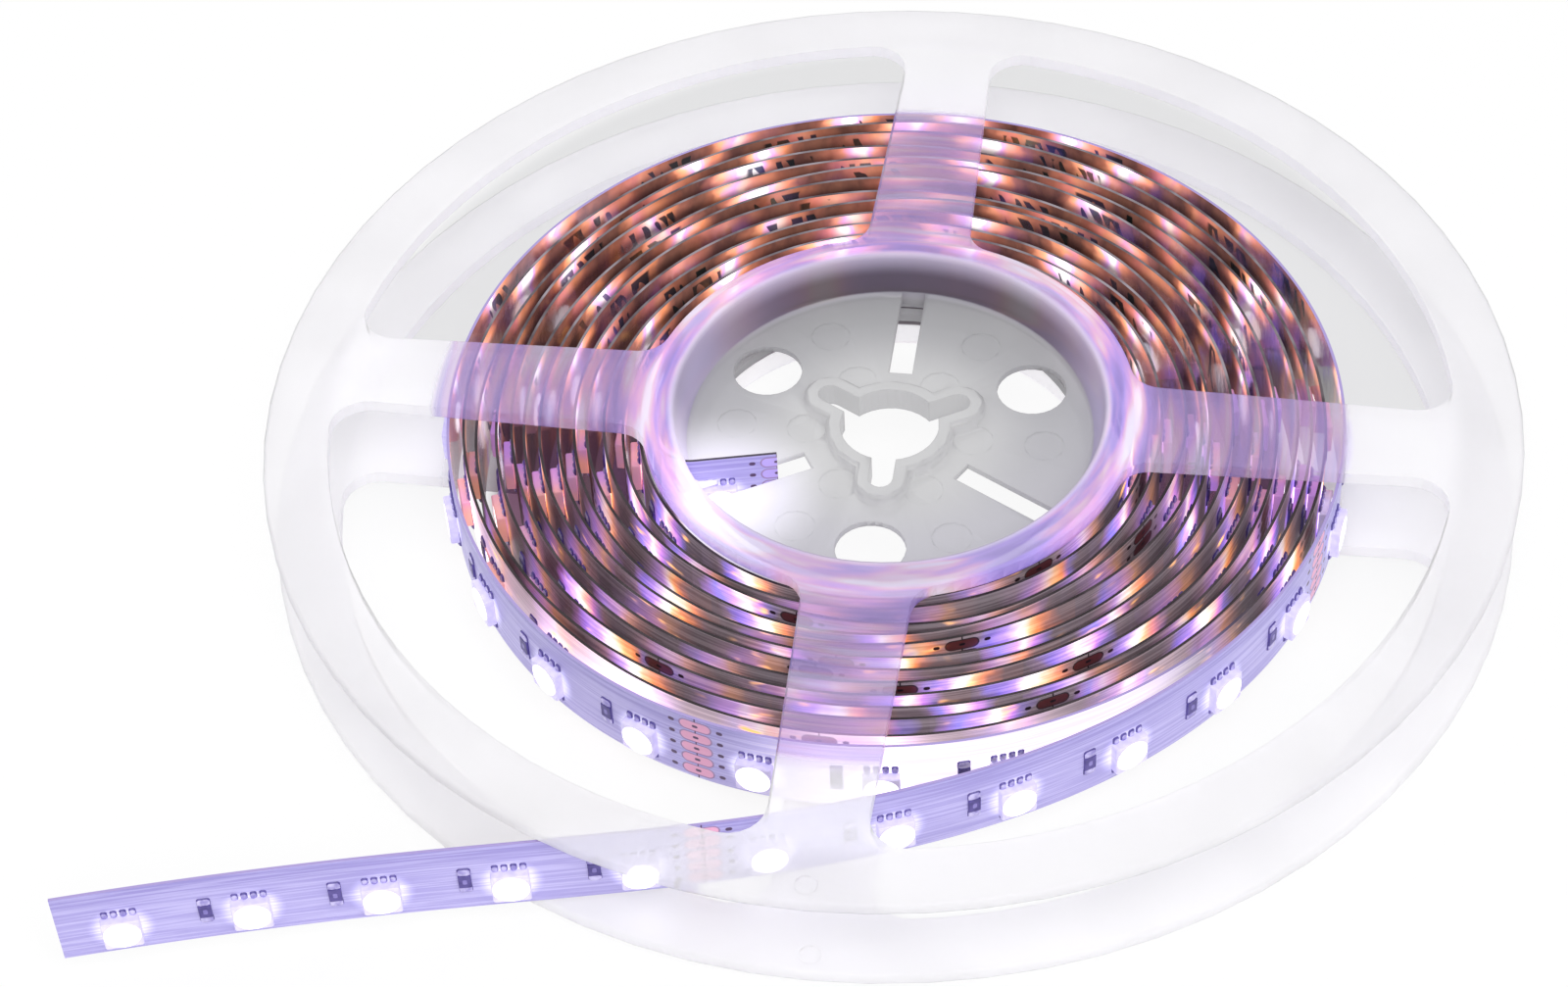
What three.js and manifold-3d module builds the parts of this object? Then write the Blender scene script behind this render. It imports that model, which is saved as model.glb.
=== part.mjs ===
import * as THREE from "three";
import { mergeVertices } from "three/addons/utils/BufferGeometryUtils.js";
import Module from "manifold-3d";

// Driving sizes, in millimetres and degrees

const seat_gap = 0.3;

// Overall height and the two flanges
const reel_height = 18.0;
const flange_radius = 88.0;
const flange_thickness = 1.9;
const flange_edge_round = 0.6;
const collar_rise = 0.8;
const rim_width = 9.1;

// Spokes and the windows between them
const spoke_count = 4;
const spoke_half_width_at_axis = 8.3;
const spoke_taper = 0.024;
const window_outer_corner = 5.0;
const window_inner_corner = 4.4;

// Hub wall and collar
const hub_outer_radius = 32.6;
const wall_at_mouth = 2.4;
const wall_at_web = 3.9;
const wall_at_ledge = 5.0;
const collar_overhang = 1.3;
const window_setback = 2.2;
const collar_round = 0.7;
const ledge_thickness = 1.5;

// Web across the hub
const web_top = 11.5;
const web_thickness = 0.9;
const hole_count = 3;
const hole_radius = 4.95;
const hole_centre_radius = 22.0;
const hole_first_angle = 30;
const slot_width = 3.4;
const slot_inner_radius = 12.4;
const slot_first_angle = 90;

// Keyed bore and the boss round it
const bore_radius = 7.0;
const key_count = 3;
const key_width = 3.4;
const key_reach = 12.3;
const boss_wall = 2.1;
const boss_rise = 2.0;
const boss_drop = 0.9;
const boss_round = 0.5;

// Round ejector marks
const mark_depth = 0.2;
const mark_radius = 2.9;
const mark_circle_radii = [11.9, 21.9];
const mark_count = 6;
const mark_first_angle = 0;
const rim_mark_radius = 1.5;
const rim_mark_circle = 85.0;

// Flexible strip
const strip_width = 12.0;
const strip_thickness = 0.4;
const turn_pitch = 2.28;
const winding_clearance = 0.2;
const winding_slack = 0.4;
const slack_fade_in = 500;
const slack_fade_out = 420;
const winding_shift = 2.2;
const winding_shift_angle = 100.6;
const segments_per_turn = 38;
const whole_turns = 13;
const tail_leave_angle = -28.0;
const tail_ease_length = 124.0;
const tail_end_length = 47.0;
const tail_counter_radius = 600.0;
const tail_step = 6.5;

// Inner end of the strip
const entry_angle = 193.4;
const entry_bend_radius = 5.0;
const entry_heading = 13.2;
const entry_straight_length = 11.6;
const entry_bend_steps = 8;
const entry_slit_clearance = 0.45;

// Light emitting packages
const package_pitch = 100 / 6;
const package_count = 36;
const package_size = 5.0;
const package_height = 1.2;
const package_corner = 0.7;
const package_from_end = 8.1;
const package_level = 7.5;
const lens_radius = 2.1;
const lens_depth = 0.25;

// Steps round a circle
const fine_steps = 72;
const hole_steps = 28;
const mark_steps = 12;
const corner_steps = 6;

const mid_level = reel_height / 2;
const hub_mouth_radius = hub_outer_radius - wall_at_mouth;
const hub_floor_radius = hub_outer_radius - wall_at_web;
const ledge_inner_radius = hub_outer_radius - wall_at_ledge;
const collar_outer_radius = hub_outer_radius + collar_overhang;
const window_inner_radius = hub_outer_radius + window_setback;
const first_turn_radius = hub_outer_radius + winding_clearance + strip_thickness / 2;
const window_outer_radius = flange_radius - rim_width;
const flange_top = reel_height - collar_rise;
const flange_under = flange_top - flange_thickness;
const strip_bottom = mid_level - strip_width / 2;

const wasm = await Module();
wasm.setup();

function radians(degrees) {
  return THREE.MathUtils.degToRad(degrees);
}

function polar(radius, degrees) {
  return new THREE.Vector2(radius * Math.cos(radians(degrees)), radius * Math.sin(radians(degrees)));
}

function toSolid(geometry) {
  const bare = geometry.clone();
  bare.deleteAttribute("normal");
  bare.deleteAttribute("uv");
  const merged = mergeVertices(bare, 1e-4);
  const mesh = new wasm.Mesh({
    numProp: 3,
    vertProperties: new Float32Array(merged.attributes.position.array),
    triVerts: new Uint32Array(merged.index.array),
  });
  mesh.merge();
  return new wasm.Manifold(mesh);
}

function toGeometry(solid) {
  const mesh = solid.getMesh();
  const geometry = new THREE.BufferGeometry();
  geometry.setAttribute("position", new THREE.BufferAttribute(new Float32Array(mesh.vertProperties), 3));
  geometry.setIndex(new THREE.BufferAttribute(new Uint32Array(mesh.triVerts), 1));
  geometry.computeVertexNormals();
  return geometry;
}

// A body of revolution about the vertical axis from points of radius and height
function revolve(points, steps) {
  const profile = points.map(([radius, level]) => new THREE.Vector2(radius, level));
  const lathe = new THREE.LatheGeometry(profile, steps);
  lathe.rotateX(Math.PI / 2);
  return toSolid(lathe);
}

// A straight prism over a flat outline
function prism(outline, bottom, top) {
  const shape = new THREE.Shape(outline);
  const block = new THREE.ExtrudeGeometry(shape, { depth: top - bottom, bevelEnabled: false });
  block.translate(0, 0, bottom);
  return toSolid(block);
}

function arcPoints(centre, radius, from, to, steps) {
  const points = [];
  for (let step = 0; step <= steps; step += 1) {
    const angle = from + ((to - from) * step) / steps;
    points.push(polar(radius, angle).add(centre));
  }
  return points;
}

function disc(centre, radius, bottom, top, steps) {
  const outline = arcPoints(centre, radius, 0, 360, steps).slice(0, -1);
  return prism(outline, bottom, top);
}

// Centre of the corner round that touches a spoke's side and lies on a circle about the axis
function cornerCentre(circle_radius, corner) {
  const offset = spoke_half_width_at_axis + corner / Math.cos(Math.atan(spoke_taper));
  const square = 1 + spoke_taper * spoke_taper;
  const half = offset * spoke_taper;
  const rest = offset * offset - circle_radius * circle_radius;
  const along = (half + Math.sqrt(half * half - square * rest)) / square;
  return new THREE.Vector2(along, offset - spoke_taper * along);
}

// Outline of the window between the spokes at 0 and 90 degrees
function windowOutline() {
  const lean = THREE.MathUtils.radToDeg(Math.atan(spoke_taper));
  const outer = cornerCentre(window_outer_radius - window_outer_corner, window_outer_corner);
  const inner = cornerCentre(window_inner_radius + window_inner_corner, window_inner_corner);
  const outer_angle = THREE.MathUtils.radToDeg(outer.angle());
  const inner_angle = THREE.MathUtils.radToDeg(inner.angle());
  const side = -90 - lean;
  const half = [
    ...arcPoints(inner, window_inner_corner, inner_angle - 180, side, corner_steps),
    ...arcPoints(outer, window_outer_corner, side, outer_angle, corner_steps),
  ];
  const mirrored = half.map((point) => new THREE.Vector2(point.y, point.x)).reverse();
  const origin = new THREE.Vector2(0, 0);
  const outer_arc = arcPoints(origin, window_outer_radius, outer_angle, 90 - outer_angle, 18);
  const inner_arc = arcPoints(origin, window_inner_radius, 90 - inner_angle, inner_angle, 14);
  return [...half, ...outer_arc.slice(1, -1), ...mirrored, ...inner_arc.slice(1, -1)];
}

// Points of the plate, its round edge and the collar over the hub, from the winding side to the mouth
function plateProfile() {
  const edge = flange_edge_round;
  return [
    [hub_outer_radius, flange_under],
    [flange_radius - edge, flange_under],
    [flange_radius - edge * 0.3, flange_under + edge * 0.3],
    [flange_radius, flange_under + edge],
    [flange_radius, flange_top - edge],
    [flange_radius - edge * 0.3, flange_top - edge * 0.3],
    [flange_radius - edge, flange_top],
    [window_inner_radius + 0.3, flange_top],
    [collar_outer_radius, flange_top + collar_rise * 0.35],
    [collar_outer_radius - collar_round, reel_height],
    [hub_mouth_radius + collar_round, reel_height],
    [hub_mouth_radius + collar_round * 0.3, reel_height - collar_round * 0.3],
    [hub_mouth_radius, reel_height - collar_round],
  ];
}

// Outline of the keyed bore, larger by a margin
function boreSolid(margin, bottom, top) {
  const origin = new THREE.Vector2(0, 0);
  let solid = disc(origin, bore_radius + margin, bottom, top, 36);
  for (let key = 0; key < key_count; key += 1) {
    const angle = hole_first_angle + (key * 360) / key_count;
    const half = key_width / 2 + margin;
    const tip = arcPoints(new THREE.Vector2(key_reach - key_width / 2, 0), half, -90, 90, 8);
    const outline = [new THREE.Vector2(0, -half), ...tip, new THREE.Vector2(0, half)];
    solid = solid.add(prism(outline, bottom, top).rotate([0, 0, angle]));
  }
  return solid;
}

// Narrow slit in the hub wall and web, along the line of the strip's inner end
function entrySlit(points, bottom, top) {
  const lead = points.slice(0, entry_bend_steps + 2);
  const backward = lead[0].clone().sub(lead[1]).normalize();
  lead[0] = lead[0].clone().addScaledVector(backward, entry_slit_clearance);
  const sides = sideVectors(lead);
  const half = strip_thickness / 2 + entry_slit_clearance;
  const left = lead.map((point, index) => point.clone().addScaledVector(sides[index], half));
  const right = lead.map((point, index) => point.clone().addScaledVector(sides[index], -half));
  return prism([...left, ...right.reverse()], bottom, top);
}

function cutWindows(solid, bottom, top) {
  const window = prism(windowOutline(), bottom, top);
  let cut = solid;
  for (let spoke = 0; spoke < spoke_count; spoke += 1) {
    cut = cut.subtract(window.rotate([0, 0, (spoke * 360) / spoke_count]));
  }
  return cut;
}

function cutWeb(solid) {
  const bottom = web_top - 2 * web_thickness;
  const top = web_top + web_thickness;
  let cut = solid;
  for (let index = 0; index < hole_count; index += 1) {
    const turn = (index * 360) / hole_count;
    const centre = polar(hole_centre_radius, hole_first_angle + turn);
    cut = cut.subtract(disc(centre, hole_radius, bottom, top, hole_steps));
    const half = slot_width / 2;
    const outline = [
      new THREE.Vector2(slot_inner_radius, -half),
      new THREE.Vector2(hub_floor_radius, -half),
      new THREE.Vector2(hub_floor_radius, half),
      new THREE.Vector2(slot_inner_radius, half),
    ];
    cut = cut.subtract(prism(outline, bottom, top).rotate([0, 0, slot_first_angle + turn]));
  }
  return cut;
}

function cutWebMarks(solid) {
  let cut = solid;
  for (const circle of mark_circle_radii) {
    for (let index = 0; index < mark_count; index += 1) {
      const centre = polar(circle, mark_first_angle + (index * 360) / mark_count);
      cut = cut.subtract(disc(centre, mark_radius, web_top - mark_depth, web_top + 0.5, mark_steps));
    }
  }
  return cut;
}

function rimMark(bottom, top) {
  return disc(polar(rim_mark_circle, -90), rim_mark_radius, bottom, top, mark_steps);
}

// Moulding with the web: flange, collar, half of the hub wall and the keyed boss
function upperHalf() {
  const wall_bottom = mid_level + seat_gap / 2;
  const web_bottom = web_top - web_thickness;
  const body = revolve(
    [
      [0, web_bottom],
      [hub_floor_radius, web_bottom],
      [hub_floor_radius, wall_bottom],
      [hub_outer_radius, wall_bottom],
      ...plateProfile(),
      [hub_floor_radius + 0.2, web_top + 0.7],
      [hub_floor_radius - 0.5, web_top],
      [0, web_top],
    ],
    fine_steps,
  );
  const boss_top = web_top + boss_rise;
  const rise = boreSolid(boss_wall, web_bottom - boss_drop, boss_top - boss_round);
  const crown = boreSolid(boss_wall - boss_round, web_top, boss_top);
  let solid = cutWebMarks(cutWeb(body)).add(rise).add(crown);
  solid = solid.subtract(boreSolid(0, web_bottom - boss_drop - 1, boss_top + 1));
  solid = cutWindows(solid, flange_under - 1, reel_height + 1);
  solid = solid.subtract(entrySlit(path, wall_bottom - 1, strip_bottom + strip_width + seat_gap));
  return solid.subtract(rimMark(flange_top - mark_depth, flange_top + 1));
}

// Moulding with the open ledge: flange, collar and the other half of the hub wall
function lowerHalf() {
  const wall_top = mid_level - seat_gap / 2;
  const ledge_bottom = wall_top - ledge_thickness;
  const plate = plateProfile().map(([radius, level]) => [radius, reel_height - level]);
  const body = revolve(
    [
      [ledge_inner_radius, wall_top],
      [ledge_inner_radius, ledge_bottom],
      [hub_floor_radius - 0.5, ledge_bottom],
      [hub_floor_radius + 0.2, ledge_bottom - 0.7],
      ...plate.reverse(),
      [hub_outer_radius, wall_top],
      [ledge_inner_radius, wall_top],
    ],
    fine_steps,
  );
  let solid = cutWindows(body, -1, reel_height - flange_under + 1);
  solid = solid.subtract(entrySlit(path, strip_bottom - seat_gap, wall_top + 1));
  return solid.subtract(rimMark(reel_height - flange_under - mark_depth, mid_level));
}

// How far a point of the winding stands out or in from the even spiral, as two slow waves
function slackAt(travel, last_travel) {
  const angle = radians(travel);
  const fade_in = THREE.MathUtils.smoothstep(travel, slack_fade_in * 0.4, slack_fade_in);
  const fade_out = THREE.MathUtils.smoothstep(last_travel - travel, 0, slack_fade_out);
  const long_wave = Math.sin(2.31 * angle + 1.4 * Math.sin(0.37 * angle));
  const short_wave = Math.sin(3.74 * angle + 0.9);
  return winding_slack * fade_in * fade_out * (long_wave + 0.7 * short_wave);
}

// Centre line of the strip from its inner end to the end of the tail
function stripPath() {
  const points = [];
  const bend_centre = polar(first_turn_radius - entry_bend_radius, entry_angle);
  const straight = polar(1, entry_heading);
  const bend_end = bend_centre.clone().add(polar(entry_bend_radius, entry_heading - 90));
  points.push(bend_end.clone().addScaledVector(straight, entry_straight_length));
  const bend_from = entry_heading + 270;
  points.push(...arcPoints(bend_centre, entry_bend_radius, bend_from, entry_angle, entry_bend_steps));
  const shift = polar(winding_shift, winding_shift_angle);
  const last_travel = entry_angle - tail_leave_angle + 360 * whole_turns;
  const steps = Math.round((last_travel / 360) * segments_per_turn);
  for (let step = 1; step <= steps; step += 1) {
    const travel = (last_travel * step) / steps;
    const grown = (turn_pitch * travel) / 360 + slackAt(travel, last_travel);
    const ease = travel / last_travel;
    points.push(polar(first_turn_radius + grown, entry_angle - travel).addScaledVector(shift, ease));
  }
  const last = points[points.length - 1].clone();
  const before = points[points.length - 2];
  const start_heading = THREE.MathUtils.radToDeg(last.clone().sub(before).angle()) - 180 / segments_per_turn;
  const bend = 1 / (last.length() + winding_shift);
  const counter = 1 / tail_counter_radius;
  const tail_length = tail_ease_length + tail_end_length;
  const tail_steps = Math.round(tail_length / tail_step);
  const stride = tail_length / tail_steps;
  for (let step = 0; step < tail_steps; step += 1) {
    const run = (step + 0.5) * stride;
    const eased = Math.min(run, tail_ease_length);
    const easing = eased - (eased * eased) / (2 * tail_ease_length);
    const turned = (bend + counter) * easing - counter * run;
    last.addScaledVector(polar(1, start_heading - THREE.MathUtils.radToDeg(turned)), stride);
    points.push(last.clone());
  }
  return points;
}

// Unit vectors across the path, towards the side that carries the packages
function sideVectors(points) {
  return points.map((point, index) => {
    const ahead = points[Math.min(index + 1, points.length - 1)];
    const behind = points[Math.max(index - 1, 0)];
    const along = ahead.clone().sub(behind).normalize();
    return new THREE.Vector2(-along.y, along.x);
  });
}

function stripSolid(points) {
  const sides = sideVectors(points);
  const half = strip_thickness / 2;
  const front = points.map((point, index) => point.clone().addScaledVector(sides[index], half));
  const back = points.map((point, index) => point.clone().addScaledVector(sides[index], -half));
  const outline = [...front, ...back.reverse()];
  return prism(outline, strip_bottom, strip_bottom + strip_width);
}

// Position and heading at a distance back from the end of the tail
function placeFromEnd(points, distance) {
  let left = distance;
  let index = points.length - 1;
  while (points[index].distanceTo(points[index - 1]) < left) {
    left -= points[index].distanceTo(points[index - 1]);
    index -= 1;
  }
  const along = points[index].clone().sub(points[index - 1]).normalize();
  return { centre: points[index].clone().addScaledVector(along, -left), heading: along.angle() };
}

// One square package with a cut corner and a shallow round lens pocket, standing on the strip
function packageSolid() {
  const half = package_size / 2;
  const outline = [
    new THREE.Vector2(-half, -half),
    new THREE.Vector2(half, -half),
    new THREE.Vector2(half, half - package_corner),
    new THREE.Vector2(half - package_corner, half),
    new THREE.Vector2(-half, half),
  ];
  const origin = new THREE.Vector2(0, 0);
  const pocket = disc(origin, lens_radius, package_height - lens_depth, package_height + 1, 10);
  return prism(outline, 0, package_height).subtract(pocket);
}

function finish(colour, roughness, metalness) {
  return new THREE.MeshStandardMaterial({ color: colour, roughness, metalness });
}

const group = new THREE.Group();

function addPiece(name, geometry, material) {
  const mesh = new THREE.Mesh(geometry, material);
  mesh.name = name;
  group.add(mesh);
  return mesh;
}

const path = stripPath();
const pieces = [];
pieces.push(addPiece("upper_flange_half", toGeometry(upperHalf()), finish(0xf2f2f0, 0.35, 0)));
pieces.push(addPiece("lower_flange_half", toGeometry(lowerHalf()), finish(0xeeeeec, 0.35, 0)));
pieces.push(addPiece("wound_flexible_strip", toGeometry(stripSolid(path)), finish(0x8f86b8, 0.5, 0)));

const package_body = packageSolid();
for (let index = 0; index < package_count; index += 1) {
  const place = placeFromEnd(path, package_from_end + index * package_pitch);
  const outward = new THREE.Vector2(-Math.sin(place.heading), Math.cos(place.heading));
  const stand_off = strip_thickness / 2 + seat_gap;
  const foot = place.centre.clone().addScaledVector(outward, stand_off);
  const geometry = toGeometry(package_body);
  geometry.rotateX(-Math.PI / 2);
  geometry.rotateZ(place.heading);
  geometry.translate(foot.x, foot.y, package_level);
  const number = String(index + 1).padStart(2, "0");
  pieces.push(addPiece(`light_package_${number}`, geometry, finish(0xffffff, 0.4, 0)));
}

// The origin is the middle of the whole box at the level it rests on
const box = new THREE.Box3().setFromObject(group);
for (const piece of pieces) {
  piece.geometry.translate(-(box.min.x + box.max.x) / 2, -(box.min.y + box.max.y) / 2, 0);
}

export default group;
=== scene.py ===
"""Visual model of a lit flexible strip wound on a milky plastic reel.

The strip, its light packages and its small chips are computed from one centre
line with numpy and replace the plain CAD solids. The two reel halves are smooth
copies of their CAD nodes with a translucent moulded finish. Lengths are in
millimetres until a piece is written to a mesh, which is in metres.
"""

import logging
import math
from dataclasses import dataclass, field
from enum import Enum
from functools import reduce

import bmesh
import bpy
import numpy as np
from mathutils import Matrix, Vector


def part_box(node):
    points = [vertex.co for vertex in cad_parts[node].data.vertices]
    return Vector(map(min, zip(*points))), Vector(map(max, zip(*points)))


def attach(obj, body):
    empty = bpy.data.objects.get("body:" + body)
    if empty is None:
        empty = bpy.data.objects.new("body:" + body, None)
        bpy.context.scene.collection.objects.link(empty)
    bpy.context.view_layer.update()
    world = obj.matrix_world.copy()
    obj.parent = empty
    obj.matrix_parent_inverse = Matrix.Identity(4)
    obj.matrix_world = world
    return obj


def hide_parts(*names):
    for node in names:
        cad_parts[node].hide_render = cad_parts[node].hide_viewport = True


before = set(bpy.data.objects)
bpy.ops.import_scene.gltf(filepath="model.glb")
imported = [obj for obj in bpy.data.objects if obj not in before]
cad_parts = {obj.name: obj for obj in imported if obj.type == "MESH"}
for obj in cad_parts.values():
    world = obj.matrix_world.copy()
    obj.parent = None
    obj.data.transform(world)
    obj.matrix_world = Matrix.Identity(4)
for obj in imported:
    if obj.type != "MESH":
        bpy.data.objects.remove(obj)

MM = 0.001
TURN = 360.0
WHITE = (1.0, 1.0, 1.0, 1.0)
LOG = logging.getLogger("scene")

Socket = bpy.types.NodeSocket
Value = Socket | float | str | tuple[float, ...]
Stops = tuple[tuple[float, str], ...]
Window = tuple[tuple[float, float], tuple[float, float]]
Ring = tuple[float, float, float, float]


class Side(Enum):
    """Faces of the strip's thin rectangular section."""

    FRONT = 0
    LINER = 1
    EDGE = 2


@dataclass(frozen=True)
class StripSizes:
    """Driving sizes of the strip, the same as the CAD solid's, and the slack of its turns.

    The slack begins and ends at distances in degrees from the winding's two
    ends, and the hidden slack is let in over a range before its last point.
    """

    width: float = 12.0
    thickness: float = 0.4
    bottom: float = 3.0
    turn_pitch: float = 2.28
    first_radius: float = 33.0
    shift: float = 2.2
    shift_angle: float = 100.6
    whole_turns: int = 13
    leave_angle: float = -28.0
    ease_length: float = 124.0
    end_length: float = 47.0
    counter_radius: float = 600.0
    entry_angle: float = 193.4
    entry_radius: float = 5.0
    entry_heading: float = 13.2
    entry_straight: float = 11.6
    slack: float = 0.4
    slack_in: float = 500.0
    slack_out: float = 420.0
    hidden_slack: float = 2.3
    hidden_slack_range: tuple[float, float] = (230.0, 110.0)
    opening_range: tuple[float, float] = (2.0, 26.0)


@dataclass(frozen=True)
class PackageSizes:
    """Sizes of the light packages, their places along the strip, and those of the cut lines.

    A cell is the space from one package to the next, counted from the tail's
    end. Only the first packages, as many as own_nodes says, are CAD nodes.
    """

    pitch: float = 100 / 6
    from_end: float = 8.1
    level: float = 7.5
    size: float = 5.0
    height: float = 1.4
    lens_radius: float = 2.3
    lens_drop: float = 0.1
    corner: float = 0.3
    bevel: float = 0.12
    bevel_drop: float = 0.15
    foot_gap: float = 0.12
    well_slope: float = 0.06
    crown_share: float = 0.6
    crown_drop: float = 0.03
    own_nodes: int = 36
    cells_per_cut: int = 6
    cuts: int = 42
    first_cut: float = 4.5


@dataclass(frozen=True)
class JointSizes:
    """Sizes of the solder joints in a row above and a row below each package.

    A ring is half its length, half its height, its height over the strip's face
    and the radius of its corners.
    """

    foot: Ring = (0.46, 0.66, -0.02, 0.2)
    shoulder: Ring = (0.36, 0.52, 0.26, 0.2)
    crown: Ring = (0.16, 0.24, 0.44, 0.1)
    gap: float = 0.45
    pitch: float = 1.22
    per_row: int = 4


@dataclass(frozen=True)
class ChipSizes:
    """Sizes of the chip resistors and their place in a cell, with rings as a joint's."""

    body: tuple[Ring, ...] = (
        (0.84, 1.2, 0.0, 0.06),
        (0.84, 1.2, 0.32, 0.06),
        (0.78, 1.14, 0.38, 0.06),
    )
    label: tuple[Ring, ...] = ((0.3, 0.46, 0.3, 0.14), (0.28, 0.44, 0.4, 0.14))
    end_foot: tuple[Ring, ...] = ((0.9, 0.76, -0.02, 0.25), (0.82, 0.62, 0.2, 0.25))
    end_crown: Ring = (0.56, 0.34, 0.34, 0.18)
    end_reach: float = 1.66
    level: float = 8.6
    place: float = 0.65


@dataclass(frozen=True)
class PadSizes:
    """Sizes of the oval copper pads at a cut line, of the dot in each and of its two ticks."""

    first_level: float = 1.5
    pitch: float = 2.25
    rows: int = 5
    half_length: float = 2.25
    radius: float = 0.86
    dot_half_length: float = 0.42
    dot_radius: float = 0.24
    line_half_width: tuple[float, float] = (0.13, 0.07)
    tick_place: float = 3.5
    tick_half_length: float = 0.45
    tick_radius: float = 0.32


STRIP = StripSizes()
PACKAGE = PackageSizes()
JOINT = JointSizes()
CHIP = ChipSizes()
PAD = PadSizes()
# Cells between which the strip passes through the hub wall to its inner end.
INNER_END = (250.0, 252.0)


def unit(degrees: np.ndarray | float) -> np.ndarray:
    """Unit vector in the plane at an angle.

    Args:
        degrees: One angle or an array of angles.

    Returns:
        An array whose last axis holds x and y.
    """
    angle = np.radians(degrees)
    return np.stack([np.cos(angle), np.sin(angle)], axis=-1)


def smoothstep(low: float, high: float, value: np.ndarray) -> np.ndarray:
    """Smooth ramp from 0 at low to 1 at high.

    Args:
        low: Value where the ramp starts.
        high: Value where the ramp ends.
        value: Values to ramp.

    Returns:
        The ramped values.
    """
    part = np.clip((value - low) / (high - low), 0.0, 1.0)
    return part * part * (3.0 - 2.0 * part)


@dataclass
class StripPath:
    """Centre line of the strip from its inner end to the end of the tail.

    It is a short straight, a tight bend through the hub wall, a spiral whose
    centre drifts as it grows, and a tail whose curvature eases to nothing.
    """

    sizes: StripSizes
    axis: np.ndarray
    steps_per_turn: int = 400
    bend_steps: int = 40
    straight_steps: int = 24
    points: np.ndarray = field(init=False)
    travel: np.ndarray = field(init=False)
    normals: np.ndarray = field(init=False)
    from_end: np.ndarray = field(init=False)
    last_travel: float = field(init=False)

    def build(self) -> "StripPath":
        """Compute the points, normals and distances.

        Returns:
            The path itself.
        """
        size = self.sizes
        self.last_travel = size.entry_angle - size.leave_angle + TURN * size.whole_turns
        centre = (size.first_radius - size.entry_radius) * unit(size.entry_angle)
        angles = np.linspace(size.entry_heading + 270.0, size.entry_angle, self.bend_steps)
        bend = centre + size.entry_radius * unit(angles)
        run = np.linspace(size.entry_straight, 0.0, self.straight_steps, endpoint=False)
        straight = bend[0] + run[:, None] * unit(size.entry_heading)
        turns = self.last_travel / TURN
        travel = np.linspace(0.0, self.last_travel, int(turns * self.steps_per_turn))[1:]
        winding = self._winding(travel)
        tail = self._tail(winding)
        self.points = np.concatenate([straight, bend, winding, tail])
        before = np.full(len(straight) + len(bend), -1.0)
        beyond = self.last_travel + 1.0 + np.arange(len(tail))
        self.travel = np.concatenate([before, travel, beyond])
        along = np.gradient(self.points, axis=0)
        along /= np.linalg.norm(along, axis=1, keepdims=True)
        self.normals = np.stack([-along[:, 1], along[:, 0]], axis=1)
        gaps = np.linalg.norm(np.diff(self.points, axis=0), axis=1)
        run_in = np.concatenate([[0.0], np.cumsum(gaps)])
        low, high = (self.last_travel - before_end for before_end in size.hidden_slack_range)
        behind = 1.0 - smoothstep(low, high, self.travel)
        self.from_end = run_in[-1] - run_in + size.hidden_slack * behind
        self.points = self.points + self.axis
        return self

    def _winding(self, travel: np.ndarray) -> np.ndarray:
        """Points of the spiral, with a little slack between its turns.

        The slack is two slow waves in radius, of 2.31 and 3.74 to a turn, the
        first swung to and fro by a third. They drift from turn to turn and die
        away before the first and the last turn.

        Args:
            travel: Degrees turned since the winding's start.

        Returns:
            The points, one row each.
        """
        size = self.sizes
        angle = np.radians(travel)
        fade = smoothstep(0.4 * size.slack_in, size.slack_in, travel)
        fade *= smoothstep(0.0, size.slack_out, self.last_travel - travel)
        wave = np.sin(2.31 * angle + 1.4 * np.sin(0.37 * angle)) + 0.7 * np.sin(3.74 * angle + 0.9)
        radius = size.first_radius + size.turn_pitch * travel / TURN + size.slack * fade * wave
        drift = size.shift * unit(size.shift_angle) * (travel / self.last_travel)[:, None]
        return radius[:, None] * unit(size.entry_angle - travel) + drift

    def _tail(self, winding: np.ndarray) -> np.ndarray:
        """Points of the free tail, which leaves along the winding's last heading.

        The last step's own heading is that of its middle, half a step behind.

        Args:
            winding: The winding's points.

        Returns:
            The points, one row for each millimetre.
        """
        size = self.sizes
        last = winding[-1] - winding[-2]
        heading = math.degrees(math.atan2(last[1], last[0])) - TURN / 2 / self.steps_per_turn
        radius = np.linalg.norm(winding[-1]) + size.shift
        run = np.arange(0.5, size.ease_length + size.end_length, 1.0)
        eased = np.minimum(run, size.ease_length)
        counter = 1.0 / size.counter_radius
        easing = eased - eased**2 / (2.0 * size.ease_length)
        turned = np.degrees((1.0 / radius + counter) * easing - counter * run)
        return winding[-1] + np.cumsum(unit(heading - turned), axis=0)

    def place(self, distance: np.ndarray) -> tuple[np.ndarray, np.ndarray]:
        """Points and outward normals at distances back from the tail's end.

        Args:
            distance: Distances in millimetres.

        Returns:
            The points and the normals, one row for each distance.
        """
        order = np.argsort(self.from_end)
        known = self.from_end[order]
        columns = [np.interp(distance, known, self.points[order, axis]) for axis in (0, 1)]
        sides = [np.interp(distance, known, self.normals[order, axis]) for axis in (0, 1)]
        return np.stack(columns, axis=1), np.stack(sides, axis=1)

    def openness(self) -> np.ndarray:
        """How far each point's package side faces open air.

        Returns:
            A value from 0 to 1 for each point: 1 on the last turn, the tail and the inner end.
        """
        low, high = (self.last_travel - TURN + after for after in self.sizes.opening_range)
        outside = smoothstep(low, high, self.travel)
        return np.maximum(outside, self.travel < 0.0)

    def facing_distance(self) -> np.ndarray:
        """Where the liner of each point looks: at the point one turn further in.

        Returns:
            That point's distance from the tail's end, for each point.
        """
        wound = self.travel > 0.0
        order = np.argsort(self.travel[wound])
        inner = self.travel - TURN
        known = self.travel[wound][order]
        return np.interp(inner, known, self.from_end[wound][order])


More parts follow.
